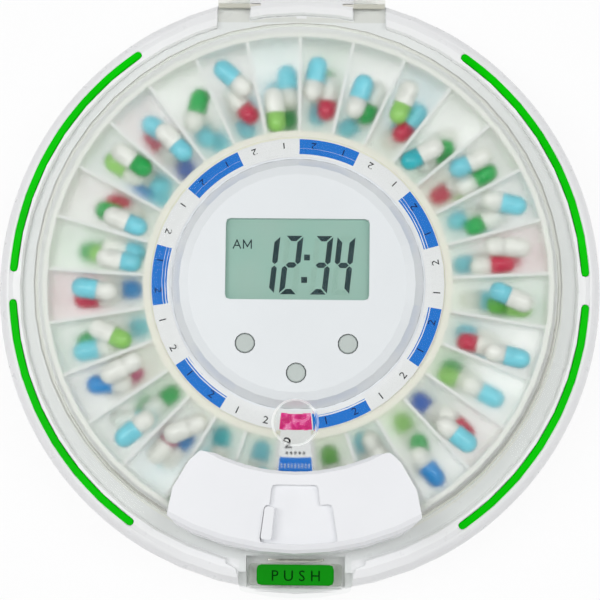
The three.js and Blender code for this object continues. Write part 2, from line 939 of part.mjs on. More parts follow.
// Half of a tooth's angle at a radius; play is taken off its thickness at the pitch circle.
function toothHalfAngle(radius, teeth, play) {
  const pitch = (gearModule * teeth) / 2;
  const base = pitch * Math.cos(radians(pressureAngle));
  const here = Math.acos(Math.min(1, base / radius));
  const half = Math.PI / (2 * teeth) - play / (2 * pitch);
  return THREE.MathUtils.radToDeg(half + involute(radians(pressureAngle)) - involute(here));
}

function toothedOutline(path, teeth, low, high, play, steps, firstAngle) {
  const points = [];
  for (let tooth = 0; tooth < teeth; tooth += 1) {
    const middle = firstAngle + (360 * tooth) / teeth;
    for (let step = 0; step <= steps; step += 1) {
      const radius = low + ((high - low) * step) / steps;
      points.push(polar(radius, middle - toothHalfAngle(radius, teeth, play)));
    }
    for (let step = steps; step >= 0; step -= 1) {
      const radius = low + ((high - low) * step) / steps;
      points.push(polar(radius, middle + toothHalfAngle(radius, teeth, play)));
    }
  }
  path.setFromPoints(points);
  path.closePath();
  return path;
}

function ringGear() {
  const outline = circleShape(ringGearRadius, divisions);
  const [tip, root] = [ringTipRadius, ringRootRadius];
  const teeth = toothedOutline(new THREE.Path(), ringTeeth, tip, root, -backlash, ringFlankSteps, -front);
  outline.holes.push(teeth);
  return prism(outline, ringGearBottom, ringGearBottom + ringGearThickness);
}

function spurGear(teeth, firstAngle) {
  const pitch = (gearModule * teeth) / 2;
  const root = pitch - gearModule * dedendumShare;
  const tip = pitch + gearModule * addendumShare;
  const outline = toothedOutline(new THREE.Shape(), teeth, root, tip, 0, flankSteps, firstAngle);
  return prism(outline, pinionBottom, pinionTop);
}

function drivePinion() {
  const gear = spurGear(pinionTeeth, -front);
  const low = socketTop - socketDepth + gap;
  const shaft = bar(0, 0, shaftRadius, low, plateTop - gap);
  return geometryOf(joined(gear, shaft)).translate(0, pinionCircle, 0);
}

function motorGear() {
  const gear = spurGear(motorTeeth, -front + 180 / motorTeeth);
  const shaft = bar(0, 0, shaftRadius, pinionBottom + gap, motorBottom + motorBore - gap);
  return geometryOf(joined(gear, shaft)).translate(0, motorCircle, 0);
}

// Drive plate and motor
function drivePlate() {
  const [low, high] = [plateBottom - gap, plateTop + gap];
  const disc = bar(0, 0, towerRadius - caseWall - slack, plateBottom, plateTop, lensTurns);
  const strip = block(-plateHalfWidth, plateHalfWidth, -plateFront, towerRadius, low, high);
  const legs = [-legX, legX].flatMap((x) =>
    [-legY, legY].map((y) => bar(x, y, legRadius, bayRoof + gap, plateBottom + gap)),
  );
  const plate = legs.reduce((whole, leg) => whole.add(solid(leg)), solid(disc).intersect(solid(strip)));
  const idlerHole = bar(0, pinionCircle, shaftRadius + shaftPlay, low, high);
  const motorHole = bar(0, motorCircle, motorBossHole, low, high, smallTurns);
  return cut(plate, idlerHole, motorHole);
}

function gearMotor() {
  const halfWidth = gearboxWidth / 2;
  const near = motorCircle - gearboxDepth / 2;
  const far = motorCircle + gearboxDepth / 2;
  const outline = roundedRectangle(-halfWidth, halfWidth, near, far, gearboxCorner);
  const gearbox = prism(outline, motorBottom, gearboxTop);
  const canTop = gearboxTop + motorHeight;
  const can = bar(0, motorCircle, motorRadius, gearboxTop - slack, canTop, lensTurns);
  const bore = bar(0, motorCircle, shaftRadius + shaftPlay, motorBottom - gap, motorBottom + motorBore);
  return cut(joined(gearbox, can), bore);
}

// Control face, display and buttons
function faceShell() {
  return turned(
    [
      [0, faceHeight],
      [faceRadius, faceHeight],
      [faceEdgeRadius, faceHeight - faceEdgeDrop],
      [towerRadius - gap, bevelFoot],
      [towerRadius, bevelSide],
      [towerRadius, skirtBottom],
      [towerRadius - caseWall, skirtBottom],
      [faceEdgeRadius - faceThickness, faceUnderside],
      [0, faceUnderside],
    ],
    faceTurns,
  );
}

function controlFace() {
  const window = displayOutline(gap);
  const posts = postAngles.map((angle) => {
    const at = polar(postCircle, angle);
    return bar(at.x, at.y, postRadius, boardTop + gap, faceUnderside + gap, tinyTurns);
  });
  const low = faceUnderside - gap;
  const high = faceHeight + gap;
  const holes = buttonPlaces().map(([x, y]) => bar(x, y, buttonRadius + gap, low, high, smallTurns));
  return cut(joined(faceShell(), ...posts), prism(window, low, high), ...holes);
}

function displayOutline(margin) {
  const width = displayWidth / 2 + margin;
  const [near, far] = [displayNear - margin, displayFar + margin];
  return roundedRectangle(-width, width, near, far, displayCorner + margin);
}

function displayGlass() {
  return prism(displayOutline(0), displayPanelTop + gap, faceHeight - displayRecess);
}

function displayPanel() {
  return prism(displayOutline(panelMargin), displayPanelTop - panelThickness, displayPanelTop);
}

function circuitBoard() {
  return bar(0, 0, boardRadius, boardTop - boardThickness, boardTop, faceTurns);
}

function buttonPlaces() {
  return [
    [-sideButtonX, sideButtonY],
    [0, midButtonY],
    [sideButtonX, sideButtonY],
  ];
}

function setButton([x, y]) {
  const collarTop = faceUnderside - gap;
  const collarLow = collarTop - buttonCollarHeight;
  const profile = [
    [0, collarLow],
    [buttonCollar, collarLow],
    [buttonCollar, collarTop],
    [buttonRadius, collarTop],
    [buttonRadius, faceHeight - buttonEdge],
    [buttonRadius - buttonEdge, faceHeight],
    [0, faceHeight],
  ];
  return turned(profile, smallTurns).translate(x, y, 0);
}

// Lid
function lidRound(offset) {
  const width = lidRoundWidth + offset;
  const rise = lidTop - lidShoulderHeight + offset;
  return profileArc(lidShoulderRadius - lidRoundWidth, lidShoulderHeight, width, rise, 0, 90, roundSteps);
}

function lidShell() {
  const domeInner = domeRadius - lidThickness;
  return turned(
    [
      [lidWallRadius - lidThickness, lidSeat],
      [flangeRadius, lidSeat],
      [flangeRadius - flangeEdge, flangeUpper],
      [lidWallRadius, flangeUpper],
      ...lidRound(0),
      [domeRadius + domeFoot, lidTop],
      [domeRadius, lidTop + domeFoot],
      [domeRadius - domeDraft, domeHeight - domeRound],
      [domeRadius - domeDraft - domeRound, domeHeight],
      [0, domeHeight],
      [0, domeHeight - lidThickness],
      [domeInner - domeDraft, domeHeight - lidThickness],
      [domeInner, lidUnderside],
      [lidShoulderRadius - lidThickness - lidRoundWidth, lidUnderside],
      [lidShoulderRadius - lidThickness, lidShoulderHeight - lidRoundWidth],
    ],
    turns,
  );
}

function knuckle(x) {
  const left = x - knuckleWidth / 2;
  const right = x + knuckleWidth / 2;
  const barrel = crossBar(left, right, hingeY, hingeHeight, knuckleRadius, smallTurns);
  const root = lidWallRadius - lidThickness;
  const arm = block(left, right, root, hingeY, lidSeat, hingeHeight + knuckleRadius - gap);
  return joined(barrel, arm);
}

function tongueSection() {
  const shape = new THREE.Shape();
  shape.moveTo(-tongueRoot, flangeUpper);
  shape.lineTo(-tongueBend, flangeUpper - tongueBendDrop);
  shape.lineTo(-tongueShoulder, flangeUpper - tongueShoulderDrop);
  shape.lineTo(-tongueReach, tongueNose);
  shape.lineTo(-tongueReach, tongueBottom);
  shape.lineTo(-tongueReach + tongueSkin, tongueBottom);
  shape.lineTo(-tongueReach + tongueSkin, tongueNose - tongueSkin / 4);
  shape.lineTo(-tongueShoulder + tongueSkin / 2, lidSeat - tongueSkin / 2);
  shape.lineTo(-tongueBend + tongueSkin, lidSeat);
  shape.lineTo(-tongueRoot, lidSeat);
  return shape;
}

// The tongue's plan: straight sides and a bowed front edge.
function tonguePlan() {
  const shape = new THREE.Shape();
  shape.moveTo(-tongueHalf, -tongueRoot + overrun);
  const sideEnd = -tongueCornerReach + tongueCornerDepth;
  const frontStart = -tongueCornerReach - tongueCornerStep;
  const frontHalf = tongueHalf - tongueCornerWidth;
  const bow = tongueReach + tongueBow;
  shape.lineTo(-tongueHalf, sideEnd);
  shape.quadraticCurveTo(-tongueHalf, -tongueCornerReach, -frontHalf, frontStart);
  shape.quadraticCurveTo(0, -bow, frontHalf, frontStart);
  shape.quadraticCurveTo(tongueHalf, -tongueCornerReach, tongueHalf, sideEnd);
  shape.lineTo(tongueHalf, -tongueRoot + overrun);
  return shape;
}

// Extruded along X from a section drawn in Y and Z.
function tongueBody() {
  const options = { depth: tongueHalf * 2, bevelEnabled: false };
  const geometry = new THREE.ExtrudeGeometry(tongueSection(), options);
  geometry.rotateX(Math.PI / 2).rotateZ(Math.PI / 2).translate(-tongueHalf, 0, 0);
  return solid(geometry).intersect(solid(prism(tonguePlan(), 0, panelTop, cornerSteps * 2)));
}

// The seat under the lens bridges the foot of the dome and stays clear of its inside.
function lensBoss() {
  const seat = solid(bar(0, -lensCircle, lensRadius, lidUnderside, lensSeat, lensTurns));
  return cut(seat, bar(0, 0, domeRadius - lidThickness, caseBottom, domeHeight - lidThickness, turns));
}

function chute() {
  const half = chuteHalfAngle;
  const outline = roundedSector(chuteInnerRadius, chuteOuterRadius, -half, half, doorCorner, doorCorner);
  return prism(outline, lidUnderside - gap, lidTop + gap);
}

function keySlot() {
  const half = keySlotWidth / 2;
  const near = flangeRadius - keySlotDepth;
  return block(-half, half, near, flangeRadius + overrun, lidSeat - gap, flangeUpper + gap);
}

function lidBody() {
  const shell = solid(lidShell());
  const knuckles = knuckle(-knuckleX).add(knuckle(knuckleX));
  const whole = shell.add(knuckles).add(tongueBody()).add(lensBoss());
  const window = roundedRectangle(-windowHalf, windowHalf, -windowFar, -windowNear, windowCorner);
  const bore = crossBar(-hingeBlockHalf, hingeBlockHalf, hingeY, hingeHeight, rodRadius + shaftPlay);
  return cut(whole, prism(window, tongueBottom - gap, flangeUpper + gap), bore, chute(), keySlot());
}

function lens() {
  const low = lensSeat + gap;
  const profile = [
    [0, low],
    [lensRadius, low],
    [lensRadius, low + lensEdge],
    ...profileArc(0, low + lensEdge, lensRadius, lensCrown, 0, 90, roundSteps).slice(1, -1),
    [0, low + lensEdge + lensCrown],
  ];
  return turned(profile, lensTurns).translate(0, -lensCircle, 0);
}

// Front panel and dispensing door
function panelShell() {
  const outerWidth = lidRoundWidth + gap + panelSkin;
  const centre = lidShoulderRadius - lidRoundWidth;
  const foot = flangeUpper + panelFoot;
  return turned(
    [
      [panelInnerRadius, panelBottom],
      [panelInnerRadius, panelTop - panelEdge],
      [panelInnerRadius + panelEdge, panelTop],
      ...profileArc(centre, lidShoulderHeight, outerWidth, panelTop - lidShoulderHeight, 90, 0, roundSteps),
      [lidWallRadius + gap + panelSkin, foot],
      [lidWallRadius + gap, foot],
      ...lidRound(gap),
    ],
    turns,
  );
}

function doorOpening() {
  const high = panelTop + gap;
  const low = panelBottom - gap;
  const upper = roundedSector(
    openingInnerRadius,
    openingStepRadius + openingCorner,
    openingStepLow,
    openingStepHigh,
    openingCorner,
    weld,
  );
  const lower = roundedSector(
    openingStepRadius,
    openingOuterRadius,
    openingLow,
    openingHigh,
    openingCorner,
    openingCorner,
  );
  return [prism(upper, low, high), prism(lower, low, high)];
}

function doorPocket() {
  const inner = doorInnerRadius - gap;
  const outer = doorOuterRadius + gap;
  const outline = roundedSector(inner, outer, doorLow - pocketPlay, pocketHigh, doorCorner, doorCorner);
  return prism(outline, panelBottom - pocketDrop, panelBottom + doorThickness + gap);
}

function frontPanel() {
  const outline = roundedSector(
    panelInnerRadius,
    lidWallRadius + gap + panelSkin + weld,
    -panelHalfAngle,
    panelHalfAngle,
    panelInnerCorner,
    panelOuterCorner,
  );
  const plate = solid(panelShell()).intersect(solid(prism(outline, 0, panelTop + gap)));
  return cut(plate, doorPocket(), ...doorOpening());
}

function dispensingDoor() {
  const [inner, outer] = [doorInnerRadius, doorOuterRadius];
  const outline = roundedSector(inner, outer, doorLow, doorHigh, doorCorner, doorCorner);
  const plate = prism(outline, panelBottom, panelBottom + doorThickness);
  const [near, far] = [ridgeInnerRadius, ridgeOuterRadius];
  const ridge = roundedSector(near, far, ridgeLow, ridgeHigh, ridgeCorner, ridgeCorner);
  return joined(plate, prism(ridge, panelBottom + doorThickness / 2, ridgeTop));
}

// Latch
function latchButton() {
  const outline = roundedRectangle(-latchHalf, latchHalf, -latchFar, -latchNear, latchCorner);
  return prism(outline, latchBottom, latchTop);
}

function latchLabel() {
  const near = latchNear + labelInset;
  const far = latchFar - labelInset;
  const low = latchTop + gap;
  const outline = roundedRectangle(-labelHalf, labelHalf, -far, -near, labelCorner);
  const lower = prism(outline, low, low + labelThickness / 2);
  const inset = roundedRectangle(
    -labelHalf + labelInset,
    labelHalf - labelInset,
    -far + labelInset,
    -near - labelInset,
    labelCorner - labelInset,
  );
  return joined(lower, prism(inset, low + labelThickness / 4, low + labelThickness));
}

class Coil extends THREE.Curve {
  constructor(radius, low, high) {
    super();
    this.radius = radius;
    this.low = low;
    this.high = high;
  }

  getPoint(share, target = new THREE.Vector3()) {
    const angle = share * springCoils * Math.PI * 2;
    const height = this.low + (this.high - this.low) * share;
    return target.set(this.radius * Math.cos(angle), this.radius * Math.sin(angle), height);
  }
}

function circleShape(radius, sides) {
  const points = Array.from({ length: sides }, (unused, index) => polar(radius, (360 * index) / sides));
  return new THREE.Shape(points);
}

function swept(path, radius, sides, steps) {
  const options = { extrudePath: path, steps, bevelEnabled: false };
  return new THREE.ExtrudeGeometry(circleShape(radius, sides), options);
}

function latchSpring() {
  const low = latchWellFloor + gap + springWire;
  const high = latchBottom - gap - springWire;
  const coil = swept(new Coil(springRadius, low, high), springWire, wireSides, coilSteps);
  return coil.translate(0, -(latchNear + latchFar) / 2, 0);
}

function latchWire() {
  const foot = latchWellFloor + gap;
  const path = new THREE.CurvePath();
  const at = (x, z) => new THREE.Vector3(x, -wireY, z);
  const bend = wireHeight - wireBend;
  const inner = wireHalf - wireBend;
  const corner = (from, over, to) => path.add(new THREE.QuadraticBezierCurve3(from, over, to));
  path.add(new THREE.LineCurve3(at(-wireHalf, foot), at(-wireHalf, bend)));
  corner(at(-wireHalf, bend), at(-wireHalf, wireHeight), at(-inner, wireHeight));
  path.add(new THREE.LineCurve3(at(-inner, wireHeight), at(inner, wireHeight)));
  corner(at(inner, wireHeight), at(wireHalf, wireHeight), at(wireHalf, bend));
  path.add(new THREE.LineCurve3(at(wireHalf, bend), at(wireHalf, foot)));
  return swept(path, wireRadius, wireSides, wireSteps);
}

function hingeRod() {
  return crossBar(-rodHalf(), rodHalf(), hingeY, hingeHeight, rodRadius);
}

// Battery bay
function cell(index) {
  const profile = [
    [0, 0],
    [cellRadius, 0],
    [cellRadius, cellLength - cellShoulder],
    [cellRadius - cellShoulder, cellLength],
    [studRadius, cellLength],
    [studRadius, cellLength + studLength],
    [0, cellLength + studLength],
  ];
  const geometry = turned(profile, smallTurns);
  geometry.translate(0, 0, -(cellLength + studLength) / 2).rotateX(index % 2 ? Math.PI / 2 : -Math.PI / 2);
  const endShift = (contactSpring - contactStud) / 2;
  const shift = index % 2 ? -endShift : endShift;
  return geometry.translate((index - (cellCount - 1) / 2) * cellPitch, shift, cellAxis);
}

// A strip with a spring for each cell's flat end and a stud for each cell's raised end.
function contactStrip(side) {
  const face = bayHalfDepth - gap;
  const width = bayHalfWidth - bayCorner;
  const low = cellAxis - stripHalfHeight;
  const pieces = [block(-width, width, face - stripThickness, face, low, low + stripHalfHeight * 2)];
  for (let index = 0; index < cellCount; index += 1) {
    const x = (index - (cellCount - 1) / 2) * cellPitch;
    const raised = (index % 2 === 0) === side > 0;
    const length = raised ? contactStud : contactSpring;
    const tip = raised ? contactRadius : contactSpringTip;
    const far = face - stripThickness / 2;
    const near = face - stripThickness - length;
    const cone = new THREE.CylinderGeometry(contactRadius, tip, far - near, tinyTurns);
    pieces.push(cone.translate(x * side, (near + far) / 2, cellAxis));
  }
  const strip = geometryOf(joined(...pieces));
  return side > 0 ? strip : strip.rotateZ(Math.PI);
}

function batteryDoor() {
  const width = bayHalfWidth - gap;
  const near = -bayHalfDepth + gap;
  const pivot = doorPivotHeight();
  const hinge = bayHalfWidth - bayCorner;
  const wide = doorPivotY - doorPlate;
  const plate = block(-width, width, near, wide, caseBottom, caseBottom + doorPlate);
  const neck = block(-hinge, hinge, wide - doorPlate, doorPivotY, caseBottom, caseBottom + doorPlate);
  const edge = crossBar(-hinge, hinge, doorPivotY, pivot, doorPlate / 2, smallTurns);
  const reach = bayHalfWidth + doorPinLength - gap;
  const pins = crossBar(-reach, reach, doorPivotY, pivot, doorPinRadius);
  const notch = bar(0, near, doorNotchRadius, caseBottom - gap, caseBottom + doorPlate / 2, smallTurns);
  const corners = prism(bayOutline(-gap), caseBottom - overrun, caseBottom + overrun);
  const body = solid(plate).intersect(solid(corners)).add(joined(neck, edge, pins));
  return cut(body, notch);
}

function speaker() {
  const low = caseFloor + gap;
  const profile = [
    [0, low],
    [speakerRadius, low],
    [speakerRadius, low + speakerHeight - speakerMagnetHeight],
    [speakerMagnet, low + speakerHeight - speakerMagnetHeight],
    [speakerMagnet, low + speakerHeight],
    [0, low + speakerHeight],
  ];
  return turned(profile, smallTurns).translate(speakerX, 0, 0);
}

// Assembly
const group = new THREE.Group();
group.name = "electronic_pill_box";

function place(name, shape, material) {
  const geometry = shape.isBufferGeometry ? shape : geometryOf(shape);
  const mesh = new THREE.Mesh(geometry, material);
  mesh.name = name;
  group.add(mesh);
}

place("lower_case", lowerCase(), whitePlastic());
place("upper_case", upperCase(), whitePlastic());
footAngles.forEach((angle, index) => place(`foot_${index + 1}`, foot(angle), blackRubber()));
lightAngles.forEach((angle, index) => place(`light_bar_${index + 1}`, lightBar(index), greenPlastic()));
place("control_face", controlFace(), whitePlastic());
place("display_glass", displayGlass(), clearPlastic());
place("display_panel", displayPanel(), displayGrey());
place("circuit_board", circuitBoard(), boardGreen());
buttonPlaces().forEach((at, index) => place(`set_button_${index + 1}`, setButton(at), greyPlastic()));
place("drive_plate", drivePlate(), acetal());
place("gear_motor", gearMotor(), steel());
place("motor_gear", motorGear(), acetal());
place("drive_pinion", drivePinion(), acetal());
place("pill_tray", pillTray(), milkyPlastic());
place("ring_gear", ringGear(), acetal());
place("dosage_ring", dosageRing(), printedCard());
place("lid", lidBody(), clearPlastic());
place("lens", lens(), clearPlastic());
place("front_panel", frontPanel(), whitePlastic());
place("dispensing_door", dispensingDoor(), whitePlastic());
place("hinge_rod", hingeRod(), steel());
place("latch_button", latchButton(), clearPlastic());
place("latch_label", latchLabel(), greenPlastic());
place("latch_spring", latchSpring(), springSteel());
place("latch_wire", latchWire(), springSteel());
for (let index = 0; index < cellCount; index += 1) {
  place(`battery_${index + 1}`, cell(index), cellWrap());
}
place("contact_strip_rear", contactStrip(1), steel());
place("contact_strip_front", contactStrip(-1), steel());
place("battery_door", batteryDoor(), whitePlastic());
place("speaker", speaker(), steel());

export default group;
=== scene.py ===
# Looks of the electronic pill box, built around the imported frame.
# Sizes are named in millimetres and scaled to metres by MM where a mesh is made.
import math

import bmesh
import bpy
from mathutils import Matrix, Vector


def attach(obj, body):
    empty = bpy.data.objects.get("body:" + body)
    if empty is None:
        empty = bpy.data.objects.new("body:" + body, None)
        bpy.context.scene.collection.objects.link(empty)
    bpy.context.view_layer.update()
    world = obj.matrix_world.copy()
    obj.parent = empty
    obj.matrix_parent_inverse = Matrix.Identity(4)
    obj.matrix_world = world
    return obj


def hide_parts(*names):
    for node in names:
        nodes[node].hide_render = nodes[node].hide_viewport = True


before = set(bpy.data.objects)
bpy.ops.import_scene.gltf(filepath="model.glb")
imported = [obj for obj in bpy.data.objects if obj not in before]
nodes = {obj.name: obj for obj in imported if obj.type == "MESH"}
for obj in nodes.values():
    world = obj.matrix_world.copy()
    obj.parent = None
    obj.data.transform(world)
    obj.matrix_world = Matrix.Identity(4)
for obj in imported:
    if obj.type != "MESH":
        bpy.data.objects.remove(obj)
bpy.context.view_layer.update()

MM = 0.001

# Dosage ring
RING_TOP = 42.7
RING_INNER = 39.9
RING_OUTER = 45.1
RING_EDGE = 0.25
START_INNER = 40.0
START_OUTER = 44.7
DIVISIONS = 29
STEP = 360.0 / DIVISIONS
FRONT = -90.0
INK = 0.02
FIELD_GAP = 0.35
DIGIT_RADIUS = 42.6
DIGIT_HEIGHT = 2.7

# Hoops that close the slot round the face: inner and outer radius, low and top
EDGING = (39.3, RING_INNER, 42.2, 42.6)
COLLAR = (38.75, 39.6, 41.6, 42.05)
HOOP_SIDES = 144

# Print on the ring's tab; its spans run from and to in y
TAB_REACH = 64.0
TAB_ANGLE = 5.5
BOX_INNER = 53.2
BOX_END = 0.5
BOX_SIDE_ANGLE = 0.3
TAB_FIGURE_HEIGHT = 3.8
TAB_FIGURE_PLACE = (-2.3, -48.5)
DOT_COUNT = 5
DOT_STEP = 1.3
DOT_HALF = 0.35
DOT_SPAN = (-52.2, -51.4)
TICK_COUNT = 9
TICK_STEP = 1.05
TICK_HALF = 0.12
TICK_SPAN = (-56.4, -55.0)

# Spans over which a look changes: radius from the centre, or y for the lid's arms
LID_TEXTURE_SPAN = (44.0, 47.0)
LID_WALL_SPAN = (79.0, 79.8)
LID_FLANGE_SPAN = (82.4, 83.0)
LID_ARM_SPAN = (84.0, 84.6)
TRAY_INNER_SPAN = (48.4, 47.6)
TRAY_OUTER_SPAN = (76.0, 78.0)
PAINTED_GLOW_RADIUS_SPAN = (52.0, 66.0)

# Lens: its centre, and where its ground rim starts and is full
LENS_Y = -42.7
LENS_RIM_SPAN = (6.2, 6.7)

# Tray cells and the painted light that glows in them
FLOOR_TOP = 16.4
DIVIDER_HALF = 0.5
CELL_INNER = 47.9
CELL_OUTER = 76.3
PAINTED_GLOW_TOP = 41.0
PAINTED_GLOW = (0.455, 0.467, 0.455)
PAINTED_GLOW_OUTER = (0.49, 0.485, 0.49)

# Capsules
CAP_RADIUS = 3.15
BODY_RADIUS = 2.98
CAPSULE_LENGTH = 14.5
CAP_LENGTH = 8.0
LIP_BEVEL = 0.1
LIP_LENGTH = 0.6
WALL_GAP = 0.15
RESTING_GAP = 0.05
DROP_STEP = 0.1
CAPSULES_TOP = 41.3

# Display: all places on it are from the glass's lower left corner
GLASS_LEFT = -21.7
GLASS_LOW = -4.9
PANEL_TOP = 44.9
FIGURE_LOW = PANEL_TOP + INK
UNLIT_TOP = PANEL_TOP + INK * 2
LIT_TOP = PANEL_TOP + INK * 3
DIGIT_WIDTH = 5.5
DIGIT_TALL = 18.0
DIGIT_BASE = 1.45
STROKE = 1.65
SEGMENT_GAP = 0.24
SLANT = 0.105
DIGIT_LEFTS = (9.05, 16.1, 25.25, 32.05)
TIME_SHOWN = "1234"
COLON = 1.8
COLON_PLACES = ((22.9, 5.0), (23.7, 11.9))

# Strokes of the morning mark: from, to
MARK_LEFT = 2.0
MARK_BASE = 15.5
MARK_STROKE = 0.36
MARK = (
    ((0.0, 0.0), (1.1, 2.5)), ((1.1, 2.5), (2.2, 0.0)), ((0.45, 0.85), (1.75, 0.85)),
    ((3.1, 0.0), (3.1, 2.5)), ((3.1, 2.5), (4.3, 0.5)), ((4.3, 0.5), (5.5, 2.5)), ((5.5, 2.5), (5.5, 0.0)),
)

# Rim of the case; the skin is given by its thickness, the angles it spans and its parts
CROWN_RADIUS = 89.897
RIM_WIDTH = 5.1
RIM_TOP = 28.7
WIDEST = 21.0
SEAM_RADIUS = 94.3
SEAM_TOP = 17.15
RIM_STEPS = 3
CASE_TURN = 7.5
SKIN = 0.02
SKIN_INNER = 91.3
SKIN_SPANS = ((-67.5, 67.5), (82.5, 97.5), (112.5, 247.5))
SKIN_TURN = 1.25
SKIN_PARTS = 14

# Light bars
BAR_HALF = 1.15
BAR_LOW = 27.5
BAR_TOP = 28.9
BAR_EDGE = 0.35
BAR_SPAN = 52.8
BAR_STARTS = (-55.6, 2.8, 124.4, 182.8)
BAR_PARTS = 60
BAR_END_PARTS = 8

# Latch label
LABEL_TOP = 28.7
LABEL_PLACE = (0.2, -89.6)
LABEL_HEIGHT = 3.4
LABEL_SPACING = 1.6

# Case screws: section from the recess in the head to the hidden end, as rise and radius
SCREW_CIRCLE = 60.0
SCREW_LOW = 3.1
SCREW_SECTION = (
    (0.9, 0.0), (0.6, 0.3), (0.15, 0.35), (0.0, 0.5), (0.0, 1.15), (0.25, 1.4), (1.6, 1.4), (1.6, 0.0),
)
SCREW_ANGLES = (22, 158, 202, 338)

# Arrow and grips of the battery door
ARROW_LOW = 1.85
ARROW_HIGH = 2.0
ARROW = ((-3.2, -20.6), (3.2, -20.6), (0, -16.8))
GRIP_COUNT = 3
GRIP_FIRST = -22.0
GRIP_STEP = 0.9
GRIP_REACH = 5.5
GRIP_HALF = 0.22
GRIP_CORNER = 0.2

# Batteries: how far the two ends of the sleeve lie from the middle
FLAT_END = 26.4
RAISED_END = 23.6

# Share of the font's size that its capitals take
CAPITALS = 0.72

# Camera, solved from the photograph: tilts and roll in degrees, near clipping in metres
CAMERA_AIM = (0.35, -3.15, 21.0)
CAMERA_DISTANCE = 679.0
RIGHT_TILT = 1.3
FRONT_TILT = 4.7
ROLL = 0.55
LENS_LENGTH = 128.5
SENSOR_WIDTH = 36.0
CLIP_START = 0.05

# Lamps in metres and watts: name, place, aim, width, depth, power
LAMPS = (
    ("top_left", (-0.62, 0.1, 1.35), (0, 0, 0), 0.5, 1.0, 7.5),
    ("top_right", (0.62, 0.1, 1.35), (0, 0, 0), 0.5, 1.0, 6.0),
    ("strip_right", (0.80, -0.50, 0.42), (0, 0, 0.03), 0.30, 0.12, 0.5),
    ("strip_left", (-0.66, -0.64, 0.42), (0, 0, 0.03), 0.30, 0.12, 0.5),
)

# World and floor: light of the world, half side in metres, level, share of plain white
WORLD_LIGHT = 0.36
FLOOR_REACH = 3.0
FLOOR_LEVEL = -0.05
FLOOR_WHITE = 0.9

# Segments that each figure lights, lettered from the top round to the middle one
SEGMENTS = {"1": "bc", "2": "abged", "3": "abgcd", "4": "fgbc"}
ALL_SEGMENTS = "abcdefg"

